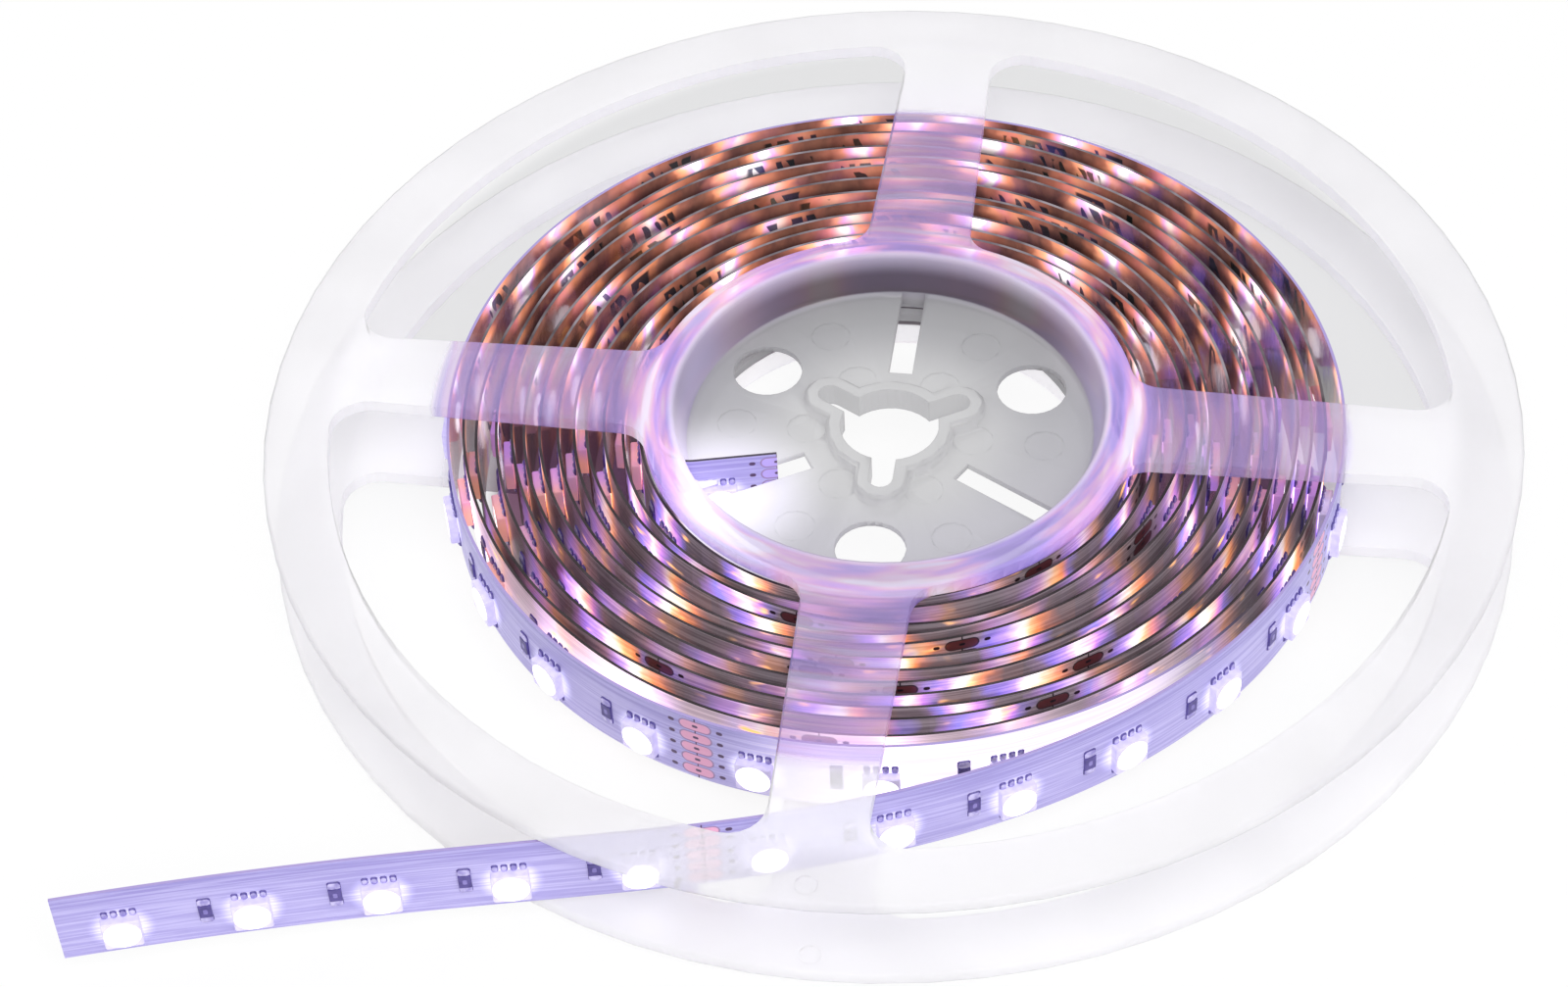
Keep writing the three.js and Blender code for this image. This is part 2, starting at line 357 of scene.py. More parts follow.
def cell(distance: np.ndarray) -> np.ndarray:
    """Distance from the tail's end counted in package spacings, whole at each package."""
    return (distance - PACKAGE.from_end) / PACKAGE.pitch


def own_cells(path: StripPath) -> np.ndarray:
    """Cell position of each point, with a cut line exactly at the strip's inner end.

    The part inside the hub is counted from the inner end instead, so that the
    cut line there is whole. The step between the two counts is inside the wall.

    Args:
        path: The strip's path.

    Returns:
        The cell position of each point.
    """
    cells = cell(path.from_end)
    last_cut = PACKAGE.first_cut + PACKAGE.cells_per_cut * PACKAGE.cuts
    from_start = path.from_end[0] - path.from_end
    return np.where(path.travel < 0.0, last_cut - from_start / PACKAGE.pitch, cells)


def linear(hex_colour: str) -> tuple[float, float, float, float]:
    """Linear colour from an sRGB hex string.

    Args:
        hex_colour: Six hex digits.

    Returns:
        Red, green, blue and an alpha of one.
    """
    parts = [int(hex_colour[start : start + 2], 16) / 255.0 for start in (0, 2, 4)]
    values = [p / 12.92 if p <= 0.04045 else ((p + 0.055) / 1.055) ** 2.4 for p in parts]
    return (values[0], values[1], values[2], 1.0)


@dataclass(frozen=True)
class NodeKind:
    """A kind of shader node: its type, its settings, its inputs in order and its output."""

    node: str
    settings: dict[str, str | int] = field(default_factory=dict)
    inputs: tuple[int | str, ...] = (0, 1, 2)
    output: int | str = 0


ADD, SUBTRACT, MULTIPLY, DIVIDE, MAXIMUM, MINIMUM, ABSOLUTE, SQRT, FLOOR, ROUND, FRACT = (
    NodeKind("ShaderNodeMath", {"operation": operation})
    for operation in (
        "ADD SUBTRACT MULTIPLY DIVIDE MAXIMUM MINIMUM ABSOLUTE SQRT FLOOR ROUND FRACT".split()
    )
)
# A value moved smoothly from one range to another, 0 to 1 unless told, and held at its ends.
REMAP = NodeKind("ShaderNodeMapRange", {"interpolation_type": "SMOOTHSTEP"}, (0, 1, 2, 3, 4))
MIX, STAIN = (
    NodeKind("ShaderNodeMix", {"data_type": "RGBA", "blend_type": blend}, (0, 6, 7), 2)
    for blend in ("MIX", "MULTIPLY")
)
MIX_VALUE = NodeKind("ShaderNodeMix", {"data_type": "FLOAT"}, (0, 2, 3))
RAMP = NodeKind("ShaderNodeValToRGB")
VECTOR = NodeKind("ShaderNodeCombineXYZ")
PART_X, PART_Y, PART_Z = (NodeKind("ShaderNodeSeparateXYZ", output=part) for part in range(3))
PLACE = NodeKind("ShaderNodeTexCoord", output="Object")
UV_MAP = NodeKind("ShaderNodeUVMap")
ATTRIBUTE = NodeKind("ShaderNodeAttribute", output="Fac")
NOISE = NodeKind("ShaderNodeTexNoise", inputs=("Vector", "Scale", "Detail"))
WHITE_NOISE = NodeKind("ShaderNodeTexWhiteNoise", {"noise_dimensions": "1D"}, ("W",))
BUMP = NodeKind("ShaderNodeBump", inputs=("Height", "Strength", "Distance"))
BEVEL = NodeKind("ShaderNodeBevel", {"samples": 4}, ("Radius",))
PRINCIPLED = NodeKind("ShaderNodeBsdfPrincipled")
TRANSLUCENT = NodeKind("ShaderNodeBsdfTranslucent")
REFRACTION = NodeKind("ShaderNodeBsdfRefraction")
DIFFUSE = NodeKind("ShaderNodeBsdfDiffuse")
EMISSION = NodeKind("ShaderNodeEmission")
MIX_SURFACE = NodeKind("ShaderNodeMixShader")
OUTPUT = NodeKind("ShaderNodeOutputMaterial")
CAMERA_RAY, GLOSSY_RAY, TRANSMISSION_RAY = (
    NodeKind("ShaderNodeLightPath", output=f"Is {ray} Ray")
    for ray in ("Camera", "Glossy", "Transmission")
)


class Tree:
    """A material's node tree and the one function that adds to it."""

    def __init__(self, name: str) -> None:
        """Start an empty material.

        Args:
            name: The material's name.
        """
        self.material = bpy.data.materials.new(name)
        self.material.use_nodes = True
        self.tree = self.material.node_tree
        self.tree.nodes.clear()

    def add(
        self,
        kind: NodeKind,
        *inputs: Value,
        settings: dict[str, str] | None = None,
        stops: Stops = (),
        **named: Value,
    ) -> Socket | None:
        """Add a node, set its properties and feed its inputs.

        Args:
            kind: The kind of node.
            inputs: Values, sRGB hex colours or sockets for the kind's inputs in their order.
            settings: Properties that differ from node to node of a kind.
            stops: Places and sRGB hex colours of a colour ramp.
            named: Values or sockets by input name, with _ for a space.

        Returns:
            The kind's output, or None for a node that has none.
        """
        node = self.tree.nodes.new(kind.node)
        for key, value in {**kind.settings, **(settings or {})}.items():
            setattr(node, key, value)
        fed = dict(zip(kind.inputs, inputs))
        fed.update({key.replace("_", " "): value for key, value in named.items()})
        for key, value in fed.items():
            if isinstance(value, Socket):
                self.tree.links.new(value, node.inputs[key])
            else:
                plain = linear(value) if isinstance(value, str) else value
                node.inputs[key].default_value = plain
        for index, (position, colour) in enumerate(stops):
            if index >= len(node.color_ramp.elements):
                node.color_ramp.elements.new(position)
            element = node.color_ramp.elements[index]
            element.position, element.color = position, linear(colour)
        return node.outputs[kind.output] if node.outputs else None

    def length(self, x: Socket, y: Socket) -> Socket:
        """Length of a vector in the plane: the root of the sum of its squares."""
        squares = self.add(ADD, self.add(MULTIPLY, x, x), self.add(MULTIPLY, y, y))
        return self.add(SQRT, squares)

    def reach(self, x: Socket, y: Socket, centre: tuple[float, float]) -> Socket:
        """Distance from a centre in the plane."""
        return self.length(self.add(SUBTRACT, x, centre[0]), self.add(SUBTRACT, y, centre[1]))

    def window(self, value: Socket, edges: Window) -> Socket:
        """Mask that rises to 1 across one range and falls back to 0 across the next."""
        return self.add(MULTIPLY, *(self.add(REMAP, value, *edge) for edge in edges))

    def uv(self, name: str) -> tuple[Socket, Socket]:
        """The two coordinates of a named UV map."""
        place = self.add(UV_MAP, settings={"uv_map": name})
        return self.add(PART_X, place), self.add(PART_Y, place)

    def about(self, place: Socket, centre: tuple[float, float]) -> tuple[Socket, Socket]:
        """Coordinates x and y about a centre in millimetres, from a place in metres."""
        x, y = (self.add(MULTIPLY, self.add(part, place), 1.0 / MM) for part in (PART_X, PART_Y))
        return self.add(SUBTRACT, x, centre[0]), self.add(SUBTRACT, y, centre[1])

    def finish(self, surface: Socket) -> bpy.types.Material:
        """Connect the surface and give the material back."""
        self.add(OUTPUT, surface)
        return self.material


class ReelZones:
    """Masks of the reel's zones, from Object coordinates about its axis in millimetres.

    Each mask ramps between two radii or two levels. The roll's own radius is
    counted from its middle, which stands a little beside the reel's axis. The
    masks over_roll and beyond_roll and the mask under the winding are of the flanges
    over, outside and under the winding, hub, web, boss and foot are of the middle,
    and lamp is a patch of painted light about the innermost package. The masks place
    the plastic's painted light and shade.
    """

    ROLL_MIDDLE = (-0.4, -0.7)
    INNERMOST_LAMP = (-22.5, -13.5)

    def __init__(self, t: Tree, axis: tuple[float, float]) -> None:
        """Set up the masks.

        Args:
            t: The tree to add to.
            axis: Place of the reel's axis in millimetres.
        """
        self.place = t.add(PLACE)
        self.x, self.y = t.about(self.place, axis)
        level = t.add(MULTIPLY, t.add(PART_Z, self.place), 1.0 / MM)
        self.radius = t.length(self.x, self.y)
        roll_radius = t.reach(self.x, self.y, self.ROLL_MIDDLE)
        beyond_wall = t.add(REMAP, self.radius, 30.0, 31.6)
        self.over_roll = t.add(MULTIPLY, beyond_wall, t.add(REMAP, roll_radius, 64.8, 63.4))
        self.beyond_roll = t.add(REMAP, roll_radius, 63.4, 65.2)
        self.low = t.add(REMAP, level, 10.0, 8.0)
        # The lower flange under the winding gets a painted shade.
        covered = t.add(MULTIPLY, self.over_roll, t.add(REMAP, roll_radius, 61.0, 57.0))
        self.shade_under_roll = t.add(MULTIPLY, covered, self.low)
        self.hub = t.add(REMAP, self.radius, 31.6, 30.4)
        self.web = t.add(REMAP, self.radius, 28.9, 28.65)
        self.boss = t.add(REMAP, self.radius, 23.0, 10.0)
        self.back = t.add(REMAP, self.y, 3.0, 27.0)
        self.near_rim = t.add(REMAP, level, 14.6, 18.0)
        self.foot = t.add(MULTIPLY, self.hub, t.add(REMAP, level, 5.3, 4.8))
        self.side = t.add(REMAP, t.add(ABSOLUTE, self.x), 5.0, 26.0)
        self.lamp = t.add(REMAP, t.reach(self.x, self.y, self.INNERMOST_LAMP), 17.0, 2.0)


@dataclass(frozen=True)
class MilkyPlastic:
    """Polypropylene as moulded: milky, satin, and half clear where it is thin.

    The web in the hub is greyer with painted shade, darker towards the back, and its boss
    paler with a painted glow. The hub wall has painted shade towards the back, a paler
    painted band near its rim and a painted glow at its foot. The collar and spokes carry
    the coloured light of the strip under them as a painted tint and glow, and the flange
    under the roll has a painted shade.
    """

    axis: tuple[float, float]
    name: str = "milky_polypropylene_painted_light_and_shade"
    body: tuple[str, str] = ("fbfbfa", "f4f4f3")
    # The hub wall's colours are painted light and shade: lavender light at the front, shade towards
    # the back, paler light near the rim and a glow at the foot.
    wall_front_lit: str = "cfc8e0"
    wall_back_shade: str = "635a5e"
    wall_rim_lit: str = "c6bfd2"
    wall_foot_glow: str = "f0f0f2"
    # The web's two greys are painted shade, darker towards the back. The boss's grey is painted
    # shade, lifted by a painted glow.
    web: tuple[str, str] = ("bab9c0", "97979a")
    boss: str = "aeaeaf"
    # Over the roll the plastic takes a painted lavender tint of the strip's light. Under it, the
    # lower flange takes a painted shade.
    strip_light_tint: str = "b5a6d2"
    shade_under_roll: str = "5e3f4c"
    clear: str = "fbfafd"
    plain_glow: str = "fafafa"
    lamp_glow: str = "efe9ff"
    streaks: Stops = (
        (0.0, "5a4cac"), (0.22, "9680e0"), (0.42, "d09ae4"), (0.58, "f4aed4"), (0.74, "ffd6cc"),
        (0.9, "ffffff"),
    )
    web_glow_strength: float = 0.17
    boss_glow_strength: float = 0.14
    foot_glow_strength: float = 0.7
    lamp_strength: float = 0.85
    collar_strength: float = 0.74
    collar_side_strength: float = 0.4
    spoke_strengths: tuple[float, float] = (0.44, 0.34)
    low_loss: float = 0.85
    spoke_end_strength: float = 0.18
    rim_strength: float = 0.08

    def make(self) -> bpy.types.Material:
        """Build the material.

        Returns:
            The finished material.
        """
        t = Tree(self.name)
        zones = ReelZones(t, self.axis)
        # Flow marks some 17 mm across, and a mould's grain of 0.6 mm, coarse enough to show.
        flow = t.add(NOISE, zones.place, 60.0, 3.0)
        grain = t.add(NOISE, zones.place, 1600.0, 1.0)
        height = t.add(ADD, flow, t.add(MULTIPLY, grain, 0.25))
        ripple = t.add(BUMP, height, 0.25, 0.12 * MM, Normal=t.add(BEVEL, 0.3 * MM))
        colour = self._colour(t, zones, flow)
        solid = t.add(
            PRINCIPLED,
            Base_Color=colour,
            Roughness=t.add(REMAP, flow, 0.3, 0.7, 0.32, 0.44),
            Specular_IOR_Level=0.45,
            Normal=ripple,
            Emission_Color=self._glow_colour(t, zones),
            Emission_Strength=self._glow_strength(t, zones),
        )
        scattered = t.add(TRANSLUCENT, Color=colour, Normal=ripple)
        milky = t.add(MIX_SURFACE, 0.25, solid, scattered)
        roughness = t.add(ADD, 0.16, t.add(MULTIPLY, zones.beyond_roll, 0.2))
        clear = t.add(REFRACTION, Color=self.clear, Roughness=roughness, IOR=1.03)
        over_turns = t.add(MULTIPLY, zones.over_roll, t.add(REMAP, zones.radius, 36.0, 40.0))
        through = t.add(SUBTRACT, 0.56, t.add(MULTIPLY, zones.hub, 0.4))
        through = t.add(ADD, through, t.add(MULTIPLY, over_turns, 0.08))
        return t.finish(t.add(MIX_SURFACE, through, milky, clear))

    def _colour(self, t: Tree, zones: ReelZones, flow: Socket) -> Socket:
        """Base colour: the body, with painted shade and light on the hub's wall, web and boss,
        a painted tint of the strip's light over the roll and painted shade under it.

        Args:
            t: The tree to add to.
            zones: The reel's masks.
            flow: Slow noise of the moulding's flow.

        Returns:
            The colour.
        """
        body = t.add(MIX, t.add(REMAP, flow, 0.35, 0.7), *self.body)
        # Painted shade darkens the hub wall towards the back. Painted light makes it paler near its
        # rim and at its foot.
        wall_low = t.add(MIX, zones.back, self.wall_front_lit, self.wall_back_shade)
        wall = t.add(MIX, zones.near_rim, wall_low, self.wall_rim_lit)
        # Painted shade: the web is greyer than the body and darker towards the back.
        web = t.add(MIX, t.add(REMAP, zones.y, -30.0, 30.0), *self.web)
        web = t.add(MIX, zones.boss, web, self.boss)
        inside = t.add(MIX, zones.web, wall, web)
        inside = t.add(MIX, zones.foot, inside, self.wall_foot_glow)
        colour = t.add(MIX, zones.hub, body, inside)
        # A painted tint of the strip's light over the roll, and painted shade under it.
        above = t.add(MULTIPLY, zones.over_roll, t.add(SUBTRACT, 1.0, zones.low))
        colour = t.add(MIX, above, colour, self.strip_light_tint)
        return t.add(MIX, zones.shade_under_roll, colour, self.shade_under_roll)

    def _glow_colour(self, t: Tree, zones: ReelZones) -> Socket:
        """Blurred lavender, pink and peach light in streaks that follow the turns beneath.

        Args:
            t: The tree to add to.
            zones: The reel's masks.

        Returns:
            The colour.
        """
        headings = (t.add(DIVIDE, part, zones.radius) for part in (zones.x, zones.y))
        sweep = [t.add(MULTIPLY, heading, 4.5) for heading in headings]
        streaks = t.add(NOISE, t.add(VECTOR, *sweep, zones.radius), 0.42, 2.0)
        tint = t.add(RAMP, t.add(REMAP, streaks, 0.28, 0.72), stops=self.streaks)
        plain = t.add(MIX, zones.lamp, self.plain_glow, self.lamp_glow)
        return t.add(MIX, zones.over_roll, plain, tint)

    def _glow_strength(self, t: Tree, zones: ReelZones) -> Socket:
        """Light in each zone: over the roll, in the hub, and round the innermost package.

        Args:
            t: The tree to add to.
            zones: The reel's masks.

        Returns:
            The strength.
        """
        # Painted glow in the hub: on the web, the boss, the wall's foot and about the innermost
        # package.
        inside = t.add(MULTIPLY, zones.web, self.web_glow_strength)
        for mask, strength in (
            (zones.boss, self.boss_glow_strength),
            (zones.foot, self.foot_glow_strength),
            (zones.lamp, self.lamp_strength),
        ):
            inside = t.add(ADD, inside, t.add(MULTIPLY, mask, strength))
        inside = t.add(MULTIPLY, inside, zones.hub)
        side = t.add(MULTIPLY, zones.side, self.collar_side_strength)
        collar = t.add(ADD, self.collar_strength, side)
        near_hub = t.add(REMAP, zones.radius, 38.0, 34.0)
        spoke = t.add(REMAP, zones.x, 30.0, 50.0, *self.spoke_strengths)
        rise = t.add(MULTIPLY, near_hub, t.add(SUBTRACT, collar, spoke))
        above = t.add(SUBTRACT, 1.0, t.add(MULTIPLY, zones.low, self.low_loss))
        over = t.add(MULTIPLY, t.add(ADD, spoke, rise), above)
        inside = t.add(ADD, inside, t.add(MULTIPLY, zones.over_roll, over))
        spokes = t.add(MULTIPLY, zones.beyond_roll, t.add(REMAP, zones.radius, 81.0, 77.0))
        outside = t.add(MULTIPLY, spokes, self.spoke_end_strength)
        rim = t.add(MULTIPLY, zones.beyond_roll, t.add(MULTIPLY, zones.low, self.rim_strength))
        return t.add(ADD, inside, t.add(MAXIMUM, outside, rim))


class StripCoordinates:
    """Shared shader values read from one of the strip's UV maps."""

    def __init__(self, t: Tree, uv_name: str) -> None:
        """Set up the values.

        Args:
            t: The tree to add to.
            uv_name: UV map that holds cells along and a fraction of the width.
        """
        self.along, self.across = t.uv(uv_name)
        self.index = t.add(FLOOR, t.add(ADD, self.along, 0.5))
        self.offset = t.add(SUBTRACT, self.along, self.index)
        self.millimetres = t.add(MULTIPLY, self.offset, PACKAGE.pitch)
        self.level = t.add(MULTIPLY, self.across, STRIP.width)


def lit_phase(t: Tree, at: StripCoordinates) -> Socket:
    """Position across a package's pool of light, uneven from one package to the next.

    It is the distance from the nearest package, stretched by that package's own
    share and swung by slow noise, plus a half.

    Args:
        t: The tree to add to.
        at: Place along the strip.

    Returns:
        The position, 0.5 at the pool's middle.
    """
    share = t.add(WHITE_NOISE, t.add(ADD, at.index, 0.31))
    spread = t.add(REMAP, share, 0.0, 1.0, 0.98, 1.45)
    warp = t.add(NOISE, t.add(VECTOR, at.along, at.across), 3.1, 2.0)
    swing = t.add(MULTIPLY, t.add(SUBTRACT, warp, 0.5), 0.4)
    slid = t.add(ADD, t.add(MULTIPLY, at.offset, spread), swing)
    return t.add(ADD, slid, 0.5)


def capsule(t: Tree, x: Socket, y: Socket, half_length: float, radius: float) -> Socket:
    """Distance outside a level capsule centred at nought, negative inside.

    It is the distance from the capsule's middle line less its radius.

    Args:
        t: The tree to add to.
        x: Place along the capsule.
        y: Place across it.
        half_length: Half of its whole length.
        radius: Radius of its ends.

    Returns:
        The distance.
    """
    beyond = t.add(SUBTRACT, t.add(ABSOLUTE, x), half_length - radius)
    return t.add(SUBTRACT, t.length(t.add(MAXIMUM, beyond, 0.0), y), radius)


@dataclass(frozen=True)
class CircuitFront:
    """White solder resist over copper: fine traces, oval cut pads and pools of light.

    The resist is satin, and the light that falls on it is painted into its colour and
    glow: lavender in open air and grey painted shade on the wound turns, deeper on the
    reel's left. On the wound turns each pool runs through a ramp of colours along the
    strip, and on the free strip each lamp has a halo. The second turn and the part behind
    the tail face lit strip and are brighter.
    """

    name: str = "white_solder_resist_printed"
    warm: Stops = (
        (0.0, "3b3138"), (0.1, "5c4a68"), (0.21, "6556c8"), (0.35, "a884f2"), (0.44, "ecd2ff"),
        (0.5, "ffffff"), (0.56, "fff2d8"), (0.62, "ffc07a"), (0.7, "f08438"), (0.8, "8a4c38"),
        (0.9, "4a3636"),
    )
    cool: Stops = (
        (0.0, "463a48"), (0.11, "7c5aa4"), (0.27, "7f78ea"), (0.4, "d39cf2"), (0.49, "fff4ff"),
        (0.58, "fbc0d4"), (0.68, "b770dc"), (0.8, "5b4f9c"), (0.92, "3a3139"),
    )
    vivid: Stops = (
        (0.0, "281821"), (0.11, "6c3470"), (0.24, "b57ad8"), (0.37, "ecb6f0"), (0.46, "fff0fa"),
        (0.53, "ffc488"), (0.6, "ff9434"), (0.69, "a04c22"), (0.8, "623056"), (0.92, "281821"),
    )
    calm: Stops = (
        (0.0, "3b3138"), (0.2, "6f5676"), (0.38, "a174cc"), (0.52, "d08cc0"), (0.66, "d08a5c"),
        (0.82, "74504c"), (1.0, "3b3138"),
    )
    second_turn: Window = ((41.0, 45.0), (57.0, 53.0))
    second_turn_light: str = "ffe2f4"
    behind_tail: Window = ((28.6, 29.8), (41.0, 39.0))
    behind_tail_light: str = "fff2fb"
    glint: str = "ffb45e"
    halo_reach: tuple[float, float] = (4.6, 2.5)
    halo_colours: tuple[str, str] = ("cfc9ee", "ffffff")
    # On the reel's left the wound turns get deeper painted shade and more vivid painted light. The
    # resist colours are painted light and shade: lavender in open air, darker at the top edge, and
    # grey on the wound turns.
    left_side: tuple[float, float] = (-0.02, -0.045)
    resist_free_lit: tuple[str, str] = ("a39ad8", "bbb4e6")
    resist_top_edge_shade: tuple[str, str] = ("8d83c8", "a9a1da")
    resist_wound_shade: tuple[str, str] = ("7d747c", "a9a0a9")
    resist_wound_left_shade: tuple[str, str] = ("4c3442", "765a70")
    # The pads' copper is maroon in painted shade on the wound turns and pink or lavender in painted
    # light in open air. The rims are dark outlines and the marks dark print, both lifted to mauve
    # and purple by painted light in open air.
    copper_wound_shade: str = "5c2b2e"
    copper_free_lit: tuple[str, str] = ("e9a6c6", "b7a2ea")
    pad_rims: tuple[str, str] = ("2a2024", "8f6f9f")
    pad_marks: tuple[str, str] = ("211a22", "4b2f5a")
    between_lines: tuple[float, ...] = (0.82, 0.82, 0.84, 1.0)

    def make(self) -> bpy.types.Material:
        """Build the material.

        Returns:
            The finished material.
        """
        t = Tree(self.name)
        at = StripCoordinates(t, "own")
        open_air = t.add(ATTRIBUTE, settings={"attribute_name": "open_air"})
        # Mask of the reel's left side, where painted shade is deeper and painted light more vivid.
        left = t.add(REMAP, t.add(PART_X, t.add(PLACE)), *self.left_side)
        # Traces run along the strip, so the noise across it in millimetres is drawn out that way.
        drawn = t.add(VECTOR, t.add(MULTIPLY, at.along, 0.35), at.level)
        lines = t.add(REMAP, t.add(NOISE, drawn, 2.3, 4.0), 0.42, 0.6)
        wound_colour, wound_strength = self._wound_glow(t, at, left)
        free_colour, free_strength = self._free_glow(t, at)
        pads, rings, marks = self._pads(t, at)
        base = self._resist(t, at, open_air, left, lines)
        # Painted light: the copper is pink on the free strip and lavender at the inner end.
        copper = t.add(MIX, t.add(REMAP, at.along, *INNER_END), *self.copper_free_lit)
        base = t.add(MIX, rings, base, t.add(MIX, open_air, *self.pad_rims))
        base = t.add(MIX, pads, base, t.add(MIX, open_air, self.copper_wound_shade, copper))
        base = t.add(MIX, marks, base, t.add(MIX, open_air, *self.pad_marks))
        ring_share = t.add(MIX_VALUE, open_air, 0.85, 0.5)
        covered = t.add(MAXIMUM, marks, t.add(MULTIPLY, rings, ring_share))
        emission = t.add(MIX, open_air, wound_colour, free_colour)
        emission = t.add(STAIN, 1.0, emission, t.add(MIX, covered, WHITE, base))
        streaks = t.add(MIX, lines, self.between_lines, WHITE)
        relief = t.add(ADD, t.add(MULTIPLY, lines, 0.4), pads)
        surface = t.add(
            PRINCIPLED,
            Base_Color=base,
            Roughness=0.36,
            Specular_IOR_Level=0.5,
            Emission_Color=t.add(STAIN, 1.0, emission, streaks),
            Emission_Strength=t.add(MIX_VALUE, open_air, wound_strength, free_strength),
            Normal=t.add(BUMP, relief, 0.5, 0.05 * MM),
        )
        return t.finish(surface)

    def _wound_glow(self, t: Tree, at: StripCoordinates, left: Socket) -> tuple[Socket, Socket]:
        """Glow on the wound turns.

        Slow noise along the strip picks the warm or the cool ramp and fades it to
        the calm one, the left side has the vivid one, and small painted glints stand
        near some packages.

        Args:
            t: The tree to add to.
            at: Place along the strip.
            left: Mask of the reel's left side.

        Returns:
            Colour and strength.
        """
        phase = lit_phase(t, at)
        ramps = (self.warm, self.cool, self.vivid, self.calm)
        warm, cool, vivid, calm = (t.add(RAMP, phase, stops=stops) for stops in ramps)
        # The kind of pool changes every package or so.
        kind = t.add(REMAP, t.add(NOISE, t.add(VECTOR, at.along, 5.43), 0.8, 0.0), 0.47, 0.53)
        colour = t.add(MIX, left, t.add(MIX, kind, warm, cool), vivid)
        second = t.window(at.along, self.second_turn)
        colour = t.add(MIX, t.add(MULTIPLY, second, 0.6), colour, self.second_turn_light)
        slow = t.add(NOISE, t.add(VECTOR, at.along, 0.77), 0.9, 0.0)
        lively = t.add(MAXIMUM, t.add(REMAP, slow, 0.42, 0.54), second)
        colour = t.add(MIX, lively, calm, colour)
        strength = t.add(REMAP, slow, 0.32, 0.68, 0.55, 1.8)
        deeper = t.add(REMAP, at.level, STRIP.width, 5.0, 0.7, 1.4)
        deeper = t.add(ADD, deeper, t.add(MULTIPLY, second, 0.6))
        # Painted glints are about 1.6 mm high and a fifth of a cell long.
        specks = t.add(VECTOR, t.add(MULTIPLY, at.along, 7.0), at.level)
        glints = t.add(REMAP, t.add(NOISE, specks, 0.62, 1.0), 0.58, 0.8)
        near = t.add(REMAP, t.add(ABSOLUTE, at.offset), 0.45, 0.25)
        some = t.add(REMAP, t.add(WHITE_NOISE, t.add(ADD, at.index, 3.31)), 0.3, 0.5)
        glints = t.add(MULTIPLY, t.add(MULTIPLY, glints, near), some)
        strength = t.add(ADD, t.add(MULTIPLY, strength, deeper), glints)
        return t.add(MIX, glints, colour, self.glint), t.add(MULTIPLY, strength, 0.95)

    def _free_glow(self, t: Tree, at: StripCoordinates) -> tuple[Socket, Socket]:
        """Glow on the free strip: a halo about each lamp, and full light behind the tail.

        Args:
            t: The tree to add to.
            at: Place along the strip.

        Returns:
            Colour and strength.
        """
        rise = t.add(SUBTRACT, at.level, PACKAGE.level - STRIP.bottom)
        halo = t.add(REMAP, t.length(at.millimetres, rise), *self.halo_reach)
        behind_tail = t.window(at.along, self.behind_tail)
        colour = t.add(MIX, halo, *self.halo_colours)
        colour = t.add(MIX, behind_tail, colour, self.behind_tail_light)
        strength = t.add(ADD, t.add(MULTIPLY, halo, 0.52), 0.13)
        return colour, t.add(ADD, strength, t.add(MULTIPLY, behind_tail, 0.95))

    def _resist(
        self, t: Tree, at: StripCoordinates, open_air: Socket, left: Socket, lines: Socket
    ) -> Socket:
        """Resist over the traces, in painted light and shade: lavender in open air, darker at its
        top edge, and grey wound up, darker still on the reel's left.

        Args:
            t: The tree to add to.
            at: Place along the strip.
            open_air: How far the strip faces open air.
            left: Mask of the reel's left side.
            lines: Mask of the traces.

        Returns:
            The colour.
        """
        free, top_edge, wound, wound_left = (
            t.add(MIX, lines, *pair)
            for pair in (
                self.resist_free_lit,
                self.resist_top_edge_shade,
                self.resist_wound_shade,
                self.resist_wound_left_shade,
            )
        )
        # Painted shade darkens the free resist towards its top edge.
        free = t.add(MIX, t.add(REMAP, at.level, 7.0, STRIP.width), free, top_edge)
        return t.add(MIX, open_air, t.add(MIX, left, wound, wound_left), free)

    def _pads(self, t: Tree, at: StripCoordinates) -> tuple[Socket, Socket, Socket]:
        """Masks of the five oval pads at each cut line.

        Args:
            t: The tree to add to.
            at: Place along the strip.

        Returns:
            The pads, their rims, and the marks: a dot, the cut line and two ticks to a pad.
        """
        cuts = t.add(DIVIDE, t.add(SUBTRACT, at.along, PACKAGE.first_cut), PACKAGE.cells_per_cut)
        near = t.add(SUBTRACT, cuts, t.add(ROUND, cuts))
        x = t.add(MULTIPLY, near, PACKAGE.cells_per_cut * PACKAGE.pitch)
        row = t.add(DIVIDE, t.add(SUBTRACT, at.level, PAD.first_level), PAD.pitch)
        nearest = t.add(MINIMUM, t.add(MAXIMUM, t.add(ROUND, row), 0.0), PAD.rows - 1)
        y = t.add(MULTIPLY, t.add(SUBTRACT, row, nearest), PAD.pitch)
        edge = capsule(t, x, y, PAD.half_length, PAD.radius)
        dot = t.add(REMAP, capsule(t, x, y, PAD.dot_half_length, PAD.dot_radius), 0.05, -0.05)
        width = t.add(REMAP, t.add(ABSOLUTE, x), *PAD.line_half_width)
        line = t.add(MULTIPLY, width, t.add(REMAP, edge, -0.1, 0.1))
        beside = t.add(SUBTRACT, t.add(ABSOLUTE, x), PAD.tick_place)
        tick = capsule(t, beside, y, PAD.tick_half_length, PAD.tick_radius)
        marks = t.add(MAXIMUM, line, t.add(REMAP, tick, 0.05, -0.05))
        pads, rings = t.add(REMAP, edge, 0.0, -0.12), t.add(REMAP, edge, 0.22, 0.06)
        return pads, rings, t.add(MAXIMUM, dot, marks)


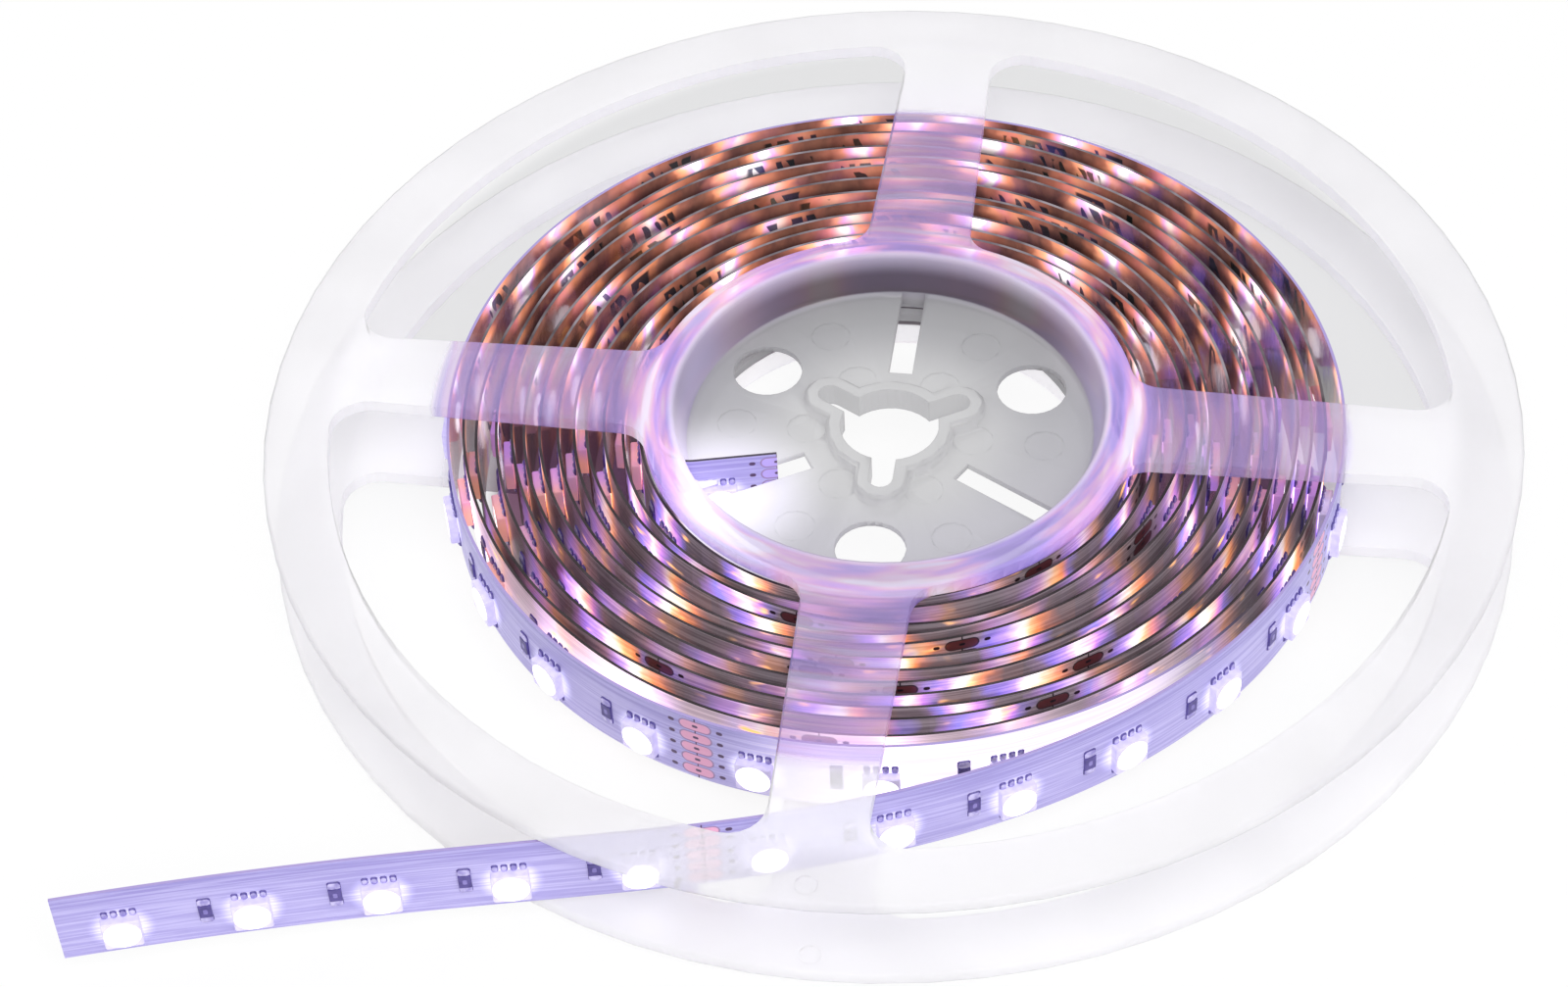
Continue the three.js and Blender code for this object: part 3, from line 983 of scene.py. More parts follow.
@dataclass(frozen=True)
class LinerBack:
    """Glossy tan release liner with dark generic bars, lit by the turn that it faces.

    Its gloss shows soft creases, and it darkens towards the bottom of the gap
    between the turns, where little light gets to the eye.
    """

    name: str = "tan_release_liner_glossy"
    tan: tuple[str, str] = ("67423a", "a06c56")
    deep: str = "2c1c1b"
    ink: str = "16231f"
    lit_ink: str = "1d2c44"
    depth_levels: tuple[float, float] = (11.6, 9.2)
    lively: Stops = (
        (0.0, "2c1c1a"), (0.12, "643c32"), (0.24, "bd7148"), (0.34, "ec9c88"), (0.41, "dc9ee8"),
        (0.48, "ffffff"), (0.54, "fff2f8"), (0.61, "dca8f0"), (0.71, "f29f78"), (0.83, "7e4a38"),
        (0.95, "2c1c1a"),
    )
    calm: Stops = (
        (0.0, "3a2420"), (0.2, "844a34"), (0.38, "cc7c50"), (0.5, "e89470"), (0.62, "d87a72"),
        (0.8, "80463a"), (1.0, "3a2420"),
    )
    mark_group_pitch: float = 37.0
    mark_lean: float = 0.35

    def make(self) -> bpy.types.Material:
        """Build the material.

        Returns:
            The finished material.
        """
        t = Tree(self.name)
        own = StripCoordinates(t, "own")
        facing = StripCoordinates(t, "facing")
        lit = t.add(ATTRIBUTE, settings={"attribute_name": "faces_light"})
        # Creases stand across the liner, about 3 mm apart.
        flat = t.add(VECTOR, own.along, t.add(MULTIPLY, own.across, 0.4))
        creases = t.add(NOISE, flat, 5.0, 3.0)
        depth = t.add(REMAP, own.level, *self.depth_levels)
        # The tan is darker in the hollows of the creases: painted crease shade.
        tan = t.add(MIX, t.add(REMAP, creases, 0.3, 0.7), *self.tan)
        tan = t.add(MIX, t.add(MULTIPLY, depth, 0.8), tan, self.deep)
        marks = self._marks(t, own)
        phase = lit_phase(t, facing)
        lively, calm = (t.add(RAMP, phase, stops=stops) for stops in (self.lively, self.calm))
        slow = t.add(NOISE, t.add(VECTOR, facing.along, 0.13), 0.9, 0.0)
        glow = t.add(MIX, t.add(REMAP, slow, 0.44, 0.56), calm, lively)
        shade = t.add(MIX, t.add(MULTIPLY, marks, 0.95), WHITE, self.lit_ink)
        strength = t.add(REMAP, slow, 0.34, 0.66, 0.5, 1.8)
        strength = t.add(MULTIPLY, strength, t.add(SUBTRACT, 1.15, depth))
        surface = t.add(
            PRINCIPLED,
            Base_Color=t.add(MIX, marks, tan, self.ink),
            Roughness=0.24,
            Specular_IOR_Level=0.6,
            Coat_Weight=0.4,
            Coat_Roughness=0.12,
            Emission_Color=t.add(STAIN, 1.0, glow, shade),
            Emission_Strength=t.add(MULTIPLY, strength, lit),
            Normal=t.add(BUMP, creases, 0.5, 0.4 * MM),
        )
        return t.finish(surface)

    def _marks(self, t: Tree, own: StripCoordinates) -> Socket:
        """Groups of plain slanting strokes that spell nothing: slanted noise cut at a level.

        Args:
            t: The tree to add to.
            own: Place along the strip.

        Returns:
            Their mask.
        """
        along = t.add(MULTIPLY, own.along, PACKAGE.pitch)
        lean = t.add(SUBTRACT, along, t.add(MULTIPLY, own.level, self.mark_lean))
        slanted = t.add(VECTOR, lean, t.add(MULTIPLY, own.level, 0.3))
        strokes = t.add(REMAP, t.add(NOISE, slanted, 0.75, 0.0), 0.52, 0.56)
        group = t.add(FRACT, t.add(DIVIDE, along, self.mark_group_pitch))
        grouped = t.window(group, ((0.0, 0.02), (0.3, 0.28)))
        tall = t.window(own.level, ((3.2, 3.6), (11.4, 11.0)))
        return t.add(MULTIPLY, strokes, t.add(MULTIPLY, grouped, tall))


@dataclass(frozen=True)
class CutEdge:
    """Slit edge of the laminate: dull grey film over a darker core, with painted light and
    shade: darker at the front of the reel, paler towards the back, lavender on the free strip
    and dark at its inner end.
    """

    name: str = "laminate_slit_edge"
    near: tuple[str, str] = ("271f23", "483e44")
    far: tuple[str, str] = ("4f464b", "9a929a")
    free: tuple[str, str] = ("a596cc", "4a4250")

    def make(self) -> bpy.types.Material:
        """Build the material.

        Returns:
            The finished material.
        """
        t = Tree(self.name)
        at = StripCoordinates(t, "own")
        open_air = t.add(ATTRIBUTE, settings={"attribute_name": "open_air"})
        # Painted light and shade by place: darker at the front of the reel, paler towards the back.
        back = t.add(REMAP, t.add(PART_Y, t.add(PLACE)), -0.008, 0.024)
        film = t.add(REMAP, t.add(NOISE, t.add(VECTOR, at.along, at.across), 2.2, 3.0), 0.35, 0.7)
        near, far = t.add(MIX, film, *self.near), t.add(MIX, film, *self.far)
        # On the free strip: lavender in painted light, dark in painted shade at the inner end.
        free = t.add(MIX, t.add(REMAP, at.along, *INNER_END), *self.free)
        colour = t.add(MIX, open_air, t.add(MIX, back, near, far), free)
        return t.finish(
            t.add(PRINCIPLED, Base_Color=colour, Roughness=0.5, Specular_IOR_Level=0.25)
        )


@dataclass(frozen=True)
class PlainFinish:
    """A small part's finish with a fine unevenness, and a glow where light gets into it.

    The scale is to the metre: 900 makes the unevenness 1.1 mm across, which is
    coarser than the real one so that it shows.
    """

    name: str
    colours: tuple[str, str]
    roughness: float
    metallic: float = 0.0
    glow: float = 0.0
    scale: float = 900.0

    def make(self) -> bpy.types.Material:
        """Build the material.

        Returns:
            The finished material.
        """
        t = Tree(self.name)
        grain = t.add(NOISE, t.add(PLACE), self.scale, 2.0)
        colour = t.add(MIX, t.add(REMAP, grain, 0.3, 0.7), *self.colours)
        surface = t.add(
            PRINCIPLED,
            Base_Color=colour,
            Roughness=self.roughness,
            Metallic=self.metallic,
            Emission_Color=colour,
            Emission_Strength=self.glow,
            Normal=t.add(BUMP, grain, 0.3, 0.03 * MM),
        )
        return t.finish(surface)


@dataclass(frozen=True)
class PackageTop:
    """Top of the white moulded package, burnt out to white in a round patch about its lamp.

    The patch has a crisp edge, as the lamp's glare has in a photograph, and its
    range is in millimetres from the lamp's middle.
    """

    name: str = "white_moulded_package_top"
    # The lavender tint of the white package is painted light of the strip.
    colours: tuple[str, str] = ("e0d9fb", "d3cbf6")
    lit: str = "fffbff"
    patch: tuple[float, float] = (2.5, 2.3)

    def make(self) -> bpy.types.Material:
        """Build the material.

        Returns:
            The finished material.
        """
        t = Tree(self.name)
        grain = t.add(NOISE, t.add(PLACE), 900.0, 2.0)
        colour = t.add(MIX, t.add(REMAP, grain, 0.3, 0.7), *self.colours)
        patch = t.add(REMAP, t.length(*t.uv("from_lamp")), *self.patch)
        surface = t.add(
            PRINCIPLED,
            Base_Color=colour,
            Roughness=0.4,
            Emission_Color=t.add(MIX, patch, colour, self.lit),
            Emission_Strength=t.add(ADD, t.add(MULTIPLY, patch, 1.3), 0.2),
            Normal=t.add(BUMP, grain, 0.3, 0.03 * MM),
        )
        return t.finish(surface)


@dataclass(frozen=True)
class LitResin:
    """Clear resin over phosphor that is switched on: smooth, and lit from within."""

    name: str = "lit_phosphor_resin"
    strength: float = 2.4

    def make(self) -> bpy.types.Material:
        """Build the material.

        Returns:
            The finished material.
        """
        t = Tree(self.name)
        grain = t.add(NOISE, t.add(PLACE), 700.0, 1.0)
        surface = t.add(
            PRINCIPLED,
            Base_Color="f4f0fa",
            Roughness=0.2,
            Emission_Color=t.add(MIX, t.add(REMAP, grain, 0.3, 0.7), "fff9ff", "f3ecff"),
            Emission_Strength=self.strength,
        )
        return t.finish(surface)


def write_mesh(
    name: str,
    vertices: np.ndarray,
    faces: np.ndarray,
    materials: list[bpy.types.Material],
    face_materials: np.ndarray,
) -> bpy.types.Object:
    """Write arrays to a new mesh object at the origin.

    Args:
        name: The object's name.
        vertices: Points in millimetres, one row each.
        faces: Corner numbers, four to a row, with -1 for a missing fourth corner.
        materials: The mesh's materials.
        face_materials: Material number of each face.

    Returns:
        The new object, linked to the scene.
    """
    counts = np.where(faces[:, 3] < 0, 3, 4)
    corners = faces[faces >= 0]
    mesh = bpy.data.meshes.new(name)
    mesh.vertices.add(len(vertices))
    mesh.vertices.foreach_set("co", (vertices * MM).astype(np.float32).ravel())
    mesh.loops.add(len(corners))
    mesh.loops.foreach_set("vertex_index", corners.astype(np.int32))
    mesh.polygons.add(len(faces))
    starts = np.concatenate([[0], np.cumsum(counts)[:-1]])
    mesh.polygons.foreach_set("loop_start", starts.astype(np.int32))
    for material in materials:
        mesh.materials.append(material)
    mesh.polygons.foreach_set("material_index", face_materials.astype(np.int32))
    mesh.update(calc_edges=True)
    mesh.validate()
    made = bpy.data.objects.new(name, mesh)
    bpy.context.collection.objects.link(made)
    return made


def write_uv(made: bpy.types.Object, name: str, values: np.ndarray) -> None:
    """Write one UV map from values for each vertex.

    Args:
        made: The object.
        name: The map's name.
        values: Two coordinates for each vertex.
    """
    mesh = made.data
    corner = np.empty(len(mesh.loops), dtype=np.int32)
    mesh.loops.foreach_get("vertex_index", corner)
    layer = mesh.uv_layers.new(name=name)
    layer.data.foreach_set("uv", values[corner].astype(np.float32).ravel())


def write_value(made: bpy.types.Object, name: str, values: np.ndarray) -> None:
    """Write one number for each vertex.

    Args:
        made: The object.
        name: The attribute's name.
        values: The numbers.
    """
    attribute = made.data.attributes.new(name, "FLOAT", "POINT")
    attribute.data.foreach_set("value", values.astype(np.float32))


@dataclass
class Ribbon:
    """The strip's own body: a thin closed rectangle swept along the path.

    The liner of the second turn comes to face the first one's packages over its
    first degrees, which the last field gives.
    """

    path: StripPath
    materials: list[bpy.types.Material]
    facing_range: float = 20.0

    def build(self) -> bpy.types.Object:
        """Sweep the section's four corners along the path and join them with quads.

        Returns:
            The finished piece.
        """
        path = self.path
        size = path.sizes
        half = size.thickness / 2
        low, high = size.bottom, size.bottom + size.width
        section = [(half, low), (half, high), (-half, high), (-half, low)]
        count = len(path.points)
        rings = []
        for out, level in section:
            flat = path.points + out * path.normals
            rings.append(np.column_stack([flat, np.full(count, level)]))
        vertices = np.concatenate(rings)
        step = np.arange(count - 1)
        sides = []
        for side in range(4):
            first = side * count + step
            second = ((side + 1) % 4) * count + step
            sides.append(np.column_stack([first, first + 1, second + 1, second]))
        first_cap = np.array([[0, count, 2 * count, 3 * count]])
        last_cap = first_cap[:, ::-1] + count - 1
        faces = np.concatenate([*sides, first_cap, last_cap])
        kinds = [Side.FRONT, Side.EDGE, Side.LINER, Side.EDGE]
        ends = [Side.EDGE.value, Side.EDGE.value]
        slots = np.concatenate([np.full(count - 1, kind.value) for kind in kinds] + [ends])
        made = write_mesh("flexible_circuit_ribbon", vertices, faces, self.materials, slots)
        own = np.tile(own_cells(path), 4)
        facing = np.tile(cell(path.facing_distance()), 4)
        across = np.repeat([0.0, 1.0, 1.0, 0.0], count)
        write_uv(made, "own", np.column_stack([own, across]))
        write_uv(made, "facing", np.column_stack([facing, across]))
        write_value(made, "open_air", np.tile(path.openness(), 4))
        wound = smoothstep(TURN, TURN + self.facing_range, path.travel)
        wound *= path.travel <= path.last_travel
        write_value(made, "faces_light", np.tile(wound, 4))
        return made


@dataclass
class Stamp:
    """One small shape to be copied to many places along the strip.

    Local points are along the strip, out from it and up, in millimetres.
    """

    points: np.ndarray
    faces: np.ndarray
    slots: np.ndarray

    def joined(self, other: "Stamp") -> "Stamp":
        """This stamp and another as one.

        Args:
            other: The other stamp.

        Returns:
            The new stamp.
        """
        shifted = np.where(other.faces < 0, -1, other.faces + len(self.points))
        return Stamp(
            np.concatenate([self.points, other.points]),
            np.concatenate([self.faces, shifted]),
            np.concatenate([self.slots, other.slots]),
        )

    def moved(self, offset: tuple[float, float, float]) -> "Stamp":
        """A moved copy."""
        return Stamp(self.points + np.array(offset), self.faces, self.slots)

    def placed(
        self, path: StripPath, distances: np.ndarray
    ) -> tuple[np.ndarray, np.ndarray, np.ndarray]:
        """Copies at distances back from the tail's end.

        Args:
            path: The strip's path.
            distances: Distances in millimetres.

        Returns:
            Vertices, faces and face materials of all the copies.
        """
        centres, outward = path.place(distances)
        along = np.stack([outward[:, 1], -outward[:, 0]], axis=1)
        flat = (
            centres[:, None, :]
            + self.points[None, :, 0:1] * along[:, None, :]
            + self.points[None, :, 1:2] * outward[:, None, :]
        )
        level = np.broadcast_to(self.points[None, :, 2:3], flat.shape[:2] + (1,))
        vertices = np.concatenate([flat, level], axis=2).reshape(-1, 3)
        step = np.arange(len(distances))[:, None, None] * len(self.points)
        faces = np.where(self.faces[None] < 0, -1, self.faces[None] + step).reshape(-1, 4)
        return vertices, faces, np.tile(self.slots, len(distances))


def loft(rings: list[np.ndarray], slot: int, close_start: bool, close_end: bool) -> Stamp:
    """Closed skin through rings of the same number of points.

    Args:
        rings: Rings that each go anticlockwise seen from the far end.
        slot: Material number.
        close_start: Whether a fan closes the first ring.
        close_end: Whether a fan closes the last ring.

    Returns:
        The skin as a stamp.
    """
    count = len(rings[0])
    here = np.arange(count)
    ahead = (here + 1) % count
    faces = []
    for ring in range(len(rings) - 1):
        base = ring * count
        quad = [base + here, base + ahead, base + count + ahead, base + count + here]
        faces.append(np.column_stack(quad))
    points = list(rings)
    total = len(rings) * count
    blank = np.full(count, -1)
    if close_start:
        points.append(rings[0].mean(axis=0, keepdims=True))
        faces.append(np.column_stack([ahead, here, np.full(count, total), blank]))
        total += 1
    if close_end:
        points.append(rings[-1].mean(axis=0, keepdims=True))
        base = (len(rings) - 1) * count
        faces.append(np.column_stack([base + here, base + ahead, np.full(count, total), blank]))
    stacked = np.concatenate(faces)
    return Stamp(np.concatenate(points), stacked, np.full(len(stacked), slot))


def section_ring(half_x: float, half_z: float, out: float, corner: float, steps: int) -> np.ndarray:
    """Rounded rectangle in the plane of the strip: a quarter circle about each corner's centre.

    Args:
        half_x: Half of its length along the strip.
        half_z: Half of its height.
        out: Height above the strip's middle.
        corner: Radius of its corners.
        steps: Points on each corner.

    Returns:
        The points, one row each.
    """
    turns = np.linspace(0.0, 90.0, steps)
    rounds = []
    for quarter, (x, z) in enumerate([(1, 1), (-1, 1), (-1, -1), (1, -1)]):
        centre = np.array([x * (half_x - corner), z * (half_z - corner)])
        rounds.append(centre + corner * unit(turns + 90.0 * quarter))
    flat = np.concatenate(rounds)
    return np.column_stack([flat[:, 0], np.full(len(flat), out), flat[:, 1]])


def round_ring(radius: float, out: float, count: int = 16) -> np.ndarray:
    """Circle in the plane of the strip whose points match a rounded rectangle's.

    Args:
        radius: Its radius.
        out: Height above the strip's middle.
        count: Points in all, a quarter of them about each diagonal.

    Returns:
        The points, one row each.
    """
    turns = np.concatenate([np.linspace(9.0, 81.0, count // 4) + 90.0 * k for k in range(4)])
    flat = radius * unit(turns)
    return np.column_stack([flat[:, 0], np.full(count, out), flat[:, 1]])


def package_stamp() -> Stamp:
    """Square package with a bevelled rim, a round well and a lens inside it.

    Returns:
        The stamp: 0 body, 1 lens and 2 the body's top.
    """
    half = PACKAGE.size / 2
    face = STRIP.thickness / 2
    top = face + PACKAGE.height
    edge = half - PACKAGE.bevel
    rings = [
        section_ring(half, half, face + PACKAGE.foot_gap, PACKAGE.corner, 4),
        section_ring(half, half, top - PACKAGE.bevel_drop, PACKAGE.corner, 4),
        section_ring(edge, edge, top, PACKAGE.corner, 4),
        round_ring(PACKAGE.lens_radius + PACKAGE.well_slope, top),
        round_ring(PACKAGE.lens_radius, top - PACKAGE.lens_drop),
    ]
    body = loft(rings, 0, True, False)
    ring = len(rings[0])
    # The two bands of faces round the well are the top.
    body.slots[2 * ring : 4 * ring] = 2
    crown = round_ring(PACKAGE.lens_radius * PACKAGE.crown_share, top - PACKAGE.crown_drop)
    lens = loft([rings[-1], crown], 1, False, True)
    return body.joined(lens).moved((0.0, 0.0, PACKAGE.level))


def small_rings(*rings: Ring) -> list[np.ndarray]:
    """Rings of a small part with cut corners, at heights over the strip's face."""
    face = STRIP.thickness / 2
    return [section_ring(x, z, face + out, corner, 2) for x, z, out, corner in rings]


def joint_stamp() -> Stamp:
    """Eight solder joints, a row above and a row below the package.

    Returns:
        The stamp: 0 dark foot and 1 pale top.
    """
    foot = loft(small_rings(JOINT.foot, JOINT.shoulder), 0, True, False)
    joint = foot.joined(loft(small_rings(JOINT.shoulder, JOINT.crown), 1, False, True))
    reach = PACKAGE.size / 2 + JOINT.gap
    levels = (PACKAGE.level - reach, PACKAGE.level + reach)
    places = (np.arange(JOINT.per_row) - (JOINT.per_row - 1) / 2) * JOINT.pitch
    return reduce(Stamp.joined, (joint.moved((x, 0.0, z)) for z in levels for x in places))


def chip_stamp() -> Stamp:
    """Chip resistor standing across the strip, with a soldered end above and below.

    Returns:
        The stamp: 0 dark body and ends' feet, 1 soldered ends and 2 pale label.
    """
    end = loft(small_rings(*CHIP.end_foot), 0, True, False).joined(
        loft(small_rings(CHIP.end_foot[-1], CHIP.end_crown), 1, False, True)
    )
    body = loft(small_rings(*CHIP.body), 0, True, True)
    whole = body.joined(loft(small_rings(*CHIP.label), 2, True, True))
    for reach in (CHIP.end_reach, -CHIP.end_reach):
        whole = whole.joined(end.moved((0.0, 0.0, reach)))
    return whole.moved((0.0, 0.0, CHIP.level))


@dataclass
class Components:
    """Everything soldered to the strip, with its finishes: packages, joints and chips."""

    path: StripPath

    def build(self) -> list[bpy.types.Object]:
        """Place the copies.

        Returns:
            The finished pieces.
        """
        length = self.path.from_end[0]
        in_hub = length - self.path.from_end[self.path.travel > 0.0][0]
        count = int((length - PACKAGE.from_end - in_hub - PACKAGE.size) / PACKAGE.pitch) + 1
        places = PACKAGE.from_end + PACKAGE.pitch * np.arange(count)
        innermost = length - PACKAGE.pitch / 2
        outer = np.append(places[: PACKAGE.own_nodes], innermost)
        between = places[:-1] + PACKAGE.pitch * CHIP.place
        number = np.arange(count - 1) + 0.5
        at_cut = np.isclose((number - PACKAGE.first_cut) % PACKAGE.cells_per_cut, 0.0)
        # Moulded nylon is satin white. Its lavender tint is painted light of the strip, and the
        # light inside it makes it glow a little, a painted glow.
        body = PlainFinish("white_moulded_package", ("e0d9fb", "d3cbf6"), 0.4, glow=0.16).make()
        # Between close turns the same white takes their lavender and peach light in soft patches:
        # a copy with painted light and a stronger painted glow.
        hidden_body = PlainFinish(
            "white_moulded_package_inner_turns", ("bf90dc", "f2b09c"), 0.4, glow=0.3, scale=90.0
        ).make()
        # Flux left about a joint is dark, round and shiny. Its violet is painted light of the
        # strip.
        flux = PlainFinish("flux_round_solder", ("665aa6", "4f4390"), 0.35).make()
        # Reflowed solder is a bright, smooth metal. Its lavender tint and faint glow are painted
        # light.
        solder = PlainFinish("reflowed_solder", ("cdc5f0", "9288c8"), 0.25, 0.2, 0.1).make()
        # Thick film fired on ceramic is dark and even. Its violet tint and faint glow are painted
        # light.
        film = PlainFinish("fired_thick_film_ceramic", ("5a4d98", "453880"), 0.4, glow=0.04).make()
        # The glaze over its middle is smoother and paler. Its violet tint and faint glow are
        # painted light.
        glaze = PlainFinish("glass_glaze_label", ("8d81c6", "776bb4"), 0.3, glow=0.05).make()
        lamp = LitResin().make()
        hidden_lamp = LitResin("lit_phosphor_resin_inner_turns", 2.0).make()
        hidden_lamp.cycles.emission_sampling = "NONE"
        package = package_stamp()
        everywhere = np.append(places, innermost)
        return [
            self._copies(*kind)
            for kind in (
                ("light_packages_outer", package, outer, [body, lamp, PackageTop().make()]),
                (
                    "light_packages_wound",
                    package,
                    places[PACKAGE.own_nodes :],
                    [hidden_body, hidden_lamp, hidden_body],
                ),
                ("solder_joints", joint_stamp(), everywhere, [flux, solder]),
                ("chip_resistors", chip_stamp(), between[~at_cut], [film, solder, glaze]),
            )
        ]

    def _copies(
        self, name: str, stamp: Stamp, distances: np.ndarray, materials: list[bpy.types.Material]
    ) -> bpy.types.Object:
        """One object of a stamp's copies, with each vertex's place from its lamp as a UV map.

        Args:
            name: The object's name.
            stamp: The shape to copy.
            distances: Distances back from the tail's end.
            materials: The stamp's materials in the order of its slots.

        Returns:
            The object.
        """
        vertices, faces, slots = stamp.placed(self.path, distances)
        made = write_mesh(name, vertices, faces, materials, slots)
        from_lamp = stamp.points[:, [0, 2]] - np.array([0.0, PACKAGE.level])
        write_uv(made, "from_lamp", np.tile(from_lamp, (len(distances), 1)))
        return made


def smooth(made: bpy.types.Object, degrees: float) -> None:
    """Shade smooth with creases kept where faces meet more sharply than an angle.

    Args:
        made: The object.
        degrees: The angle.
    """
    mesh = made.data
    mesh.polygons.foreach_set("use_smooth", np.ones(len(mesh.polygons), dtype=bool))
    mesh.set_sharp_from_angle(angle=math.radians(degrees))


@dataclass
class MouldedHalf:
    """One half of the reel: a smooth copy of its CAD node."""

    node: str
    material: bpy.types.Material
    merge_distance: float = 0.002
    crease_angle: float = 32.0

    def build(self) -> bpy.types.Object:
        """Copy the node, join its loose triangles and shade it smooth between its edges.

        Returns:
            The finished piece.
        """
        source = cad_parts[self.node]
        mesh = bpy.data.meshes.new(self.node + "_moulded")
        shell = bmesh.new()
        shell.from_mesh(source.data)
        bmesh.ops.remove_doubles(shell, verts=shell.verts, dist=self.merge_distance * MM)
        shell.to_mesh(mesh)
        shell.free()
        mesh.materials.clear()
        mesh.materials.append(self.material)
        made = bpy.data.objects.new(self.node + "_moulded", mesh)
        bpy.context.collection.objects.link(made)
        smooth(made, self.crease_angle)
        made.modifiers.new("flat_faces_stay_flat", "WEIGHTED_NORMAL").keep_sharp = True
        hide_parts(self.node)
        return made


@dataclass(frozen=True)
class Panel:
    """A square area light, with its place and side in metres and its power in watts."""

    name: str
    place: tuple[float, float, float]
    side: float
    power: float

    def build(self) -> None:
        """Make the light and aim it at the reel."""
        light = bpy.data.lights.new(self.name, "AREA")
        light.size = self.side
        light.energy = self.power
        made = bpy.data.objects.new(self.name, light)
        made.location = Vector(self.place)
        made.rotation_mode = "QUATERNION"
        made.rotation_quaternion = (-Vector(self.place)).to_track_quat("-Z", "Y")
        bpy.context.collection.objects.link(made)


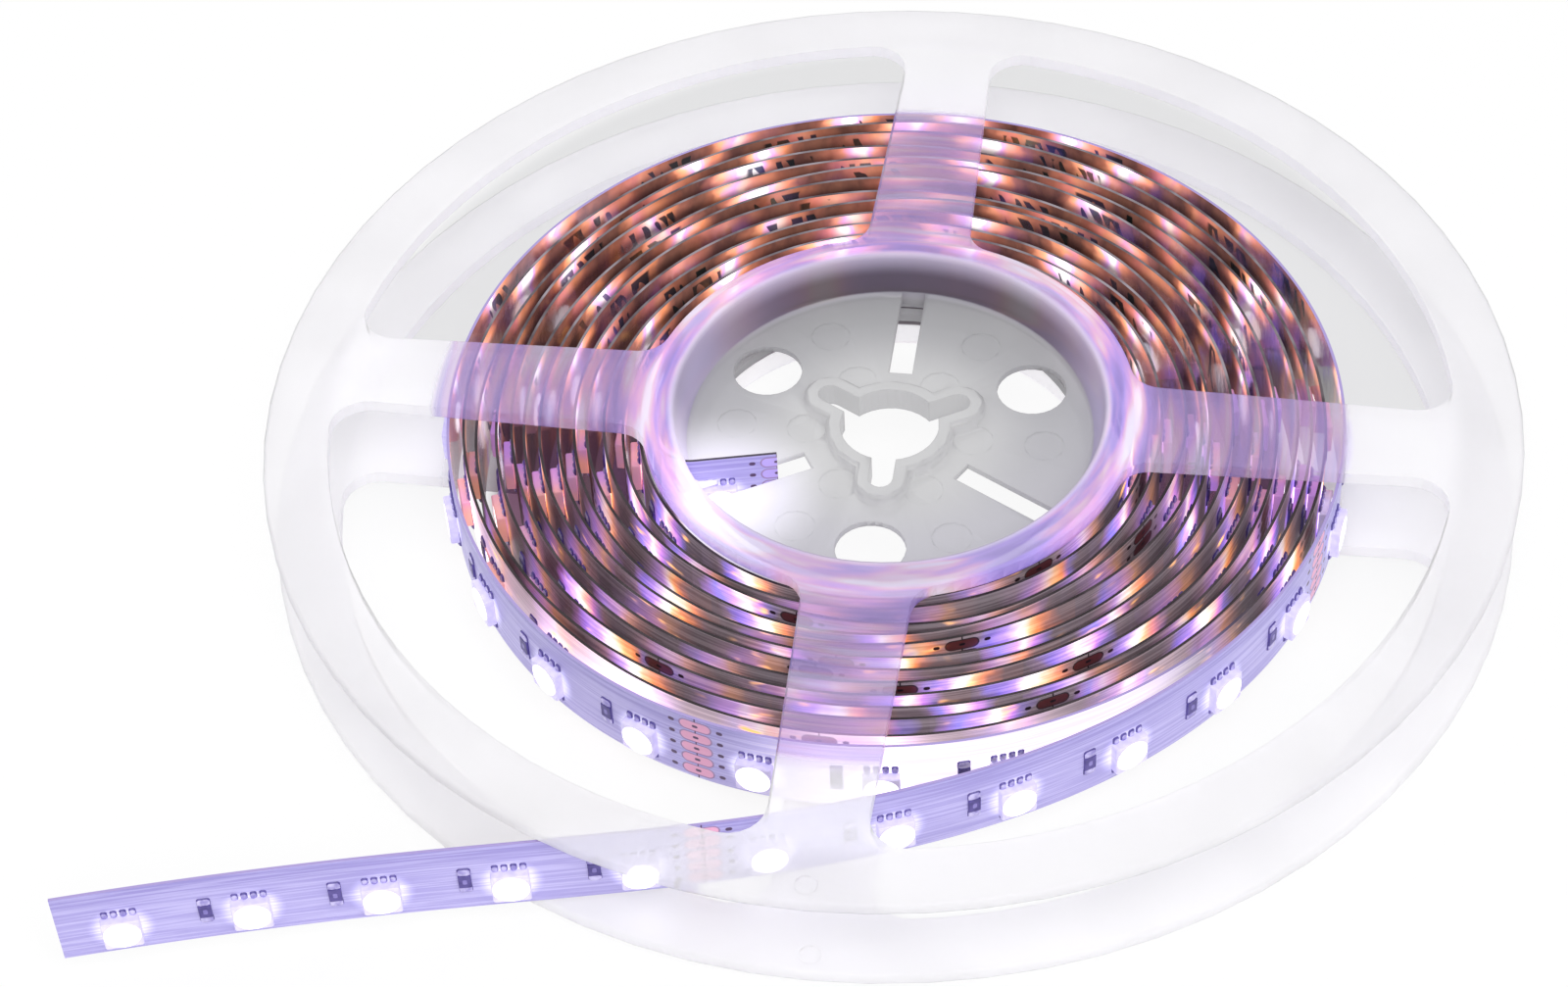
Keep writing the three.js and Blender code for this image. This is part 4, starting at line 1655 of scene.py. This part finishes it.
@dataclass
class Studio:
    """White floor, soft lights and the camera.

    The camera's angles are in degrees. Its target is the point that the picture
    is centred on, counted from the reel's axis and turned by the azimuth.
    """

    axis: np.ndarray
    elevation: float = 46.19
    azimuth: float = 10.6
    roll: float = 3.397
    distance: float = 531.6
    lens: float = 85.02
    target: tuple[float, float] = (-15.45, -0.10)
    target_level: float = 0.8
    sensor_width: float = 36.0
    world_strength: float = 0.57
    panels: tuple[Panel, ...] = (
        Panel("key_panel", (0.2, -0.5, 0.8), 0.7, 5.7),
        Panel("fill_panel", (-0.45, 0.5, 0.75), 0.6, 2.3),
    )
    floor_side: float = 6.0
    floor_drop: float = 0.0002
    paper: str = "f4f4f4"
    reel_shade: str = "e2e2e3"
    roll_shade: str = "77566c"
    roll_shade_radii: Window = ((34.0, 37.0), (59.0, 55.0))

    def build(self) -> None:
        """Make all three."""
        self._floor()
        self._lights()
        self._camera()

    def _floor(self) -> None:
        """Pale floor that looks white to the camera, with painted shade under the reel and under
        the winding, and still lights the reel from below.
        """
        bpy.ops.mesh.primitive_plane_add(
            size=self.floor_side, location=(0.0, 0.0, -self.floor_drop)
        )
        floor = bpy.context.object
        floor.name = "floor"
        t = Tree("white_sweep_paper")
        seen = t.add(MAXIMUM, t.add(CAMERA_RAY), t.add(GLOSSY_RAY))
        seen = t.add(MAXIMUM, seen, t.add(TRANSMISSION_RAY))
        paper = t.add(DIFFUSE, Color=self.paper)
        x, y = t.about(t.add(PLACE), self.axis)
        shade = t.add(MIX, self._under_reel(t, x, y), WHITE, self.reel_shade)
        # Right under the winding the close turns let no light to the paper.
        shade_under_roll = t.window(t.length(x, y), self.roll_shade_radii)
        shade = t.add(MIX, shade_under_roll, shade, self.roll_shade)
        white = t.add(EMISSION, Color=shade, Strength=1.0)
        lit = t.add(MULTIPLY, seen, 0.9)
        floor.data.materials.append(t.finish(t.add(MIX_SURFACE, lit, paper, white)))

    def _under_reel(self, t: Tree, x: Socket, y: Socket) -> Socket:
        """Soft shade on the paper between the winding and the far side of the rims.

        It is a ring between a circle and a larger oval, stronger towards the back.

        Args:
            t: The tree to add to.
            x: Place across, in millimetres about the reel's axis.
            y: Place towards the back.

        Returns:
            Its mask.
        """
        inside = t.add(REMAP, t.length(x, y), 50.0, 60.0)
        far_x = t.add(DIVIDE, t.add(ADD, x, 1.5), 84.0)
        far_y = t.add(DIVIDE, t.add(SUBTRACT, y, 7.9), 91.0)
        outside = t.add(REMAP, t.length(far_x, far_y), 1.04, 0.97)
        behind = t.add(REMAP, y, -25.0, 30.0)
        return t.add(MULTIPLY, t.add(MULTIPLY, inside, outside), behind)

    def _lights(self) -> None:
        """A pale world and two large soft panels."""
        world = bpy.data.worlds.new("pale_room")
        world.use_nodes = True
        background = world.node_tree.nodes["Background"]
        background.inputs["Color"].default_value = WHITE
        background.inputs["Strength"].default_value = self.world_strength
        bpy.context.scene.world = world
        for panel in self.panels:
            panel.build()

    def _camera(self) -> None:
        """Camera aimed at the point the photograph is centred on."""
        turn = Matrix.Rotation(math.radians(self.azimuth), 4, "Z")
        aim = turn @ Vector((self.target[0], self.target[1], 0.0))
        aim += Vector((self.axis[0], self.axis[1], self.target_level))
        rise = math.radians(self.elevation)
        back = turn @ Vector((0.0, -math.cos(rise), math.sin(rise)))
        data = bpy.data.cameras.new("camera")
        data.lens = self.lens
        data.sensor_width = self.sensor_width
        data.clip_start, data.clip_end = 0.01, 20.0
        camera = bpy.data.objects.new("camera", data)
        bpy.context.collection.objects.link(camera)
        camera.location = (aim + back * self.distance) * MM
        camera.rotation_mode = "QUATERNION"
        upright = (-back).to_track_quat("-Z", "Y").to_matrix()
        tilt = Matrix.Rotation(math.radians(-self.roll), 3, "Z")
        camera.rotation_quaternion = (upright @ tilt).to_quaternion()
        bpy.context.scene.camera = camera


def main() -> None:
    """Build the strip, dress the reel and set the scene."""
    logging.basicConfig(level=logging.INFO, format="%(message)s")
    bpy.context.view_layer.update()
    low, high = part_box("upper_flange_half")
    axis = np.array([(low[0] + high[0]) / 2, (low[1] + high[1]) / 2]) / MM
    Studio(axis).build()
    path = StripPath(STRIP, axis).build()
    LOG.info("strip length %.0f mm", path.from_end[0])
    front, liner, edge = CircuitFront().make(), LinerBack().make(), CutEdge().make()
    ribbon = Ribbon(path, [front, liner, edge]).build()
    smooth(ribbon, 40.0)
    for material in (front, liner):
        material.cycles.emission_sampling = "NONE"
    parts = Components(path).build()
    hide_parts("wound_flexible_strip")
    packages = [f"light_package_{number:02d}" for number in range(1, PACKAGE.own_nodes + 1)]
    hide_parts(*packages)
    for piece in parts:
        smooth(piece, 35.0)
    for piece in [ribbon, *parts]:
        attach(piece, "root")
        LOG.info("%s: %d faces", piece.name, len(piece.data.polygons))
    plastic = MilkyPlastic((float(axis[0]), float(axis[1]))).make()
    plastic.cycles.emission_sampling = "NONE"
    for node in ("upper_flange_half", "lower_flange_half"):
        half = MouldedHalf(node, plastic).build()
        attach(half, "root")
        LOG.info("%s: %d faces", half.name, len(half.data.polygons))
    scene = bpy.context.scene
    scene.view_settings.view_transform = "Standard"


if __name__ == "__main__":
    main()
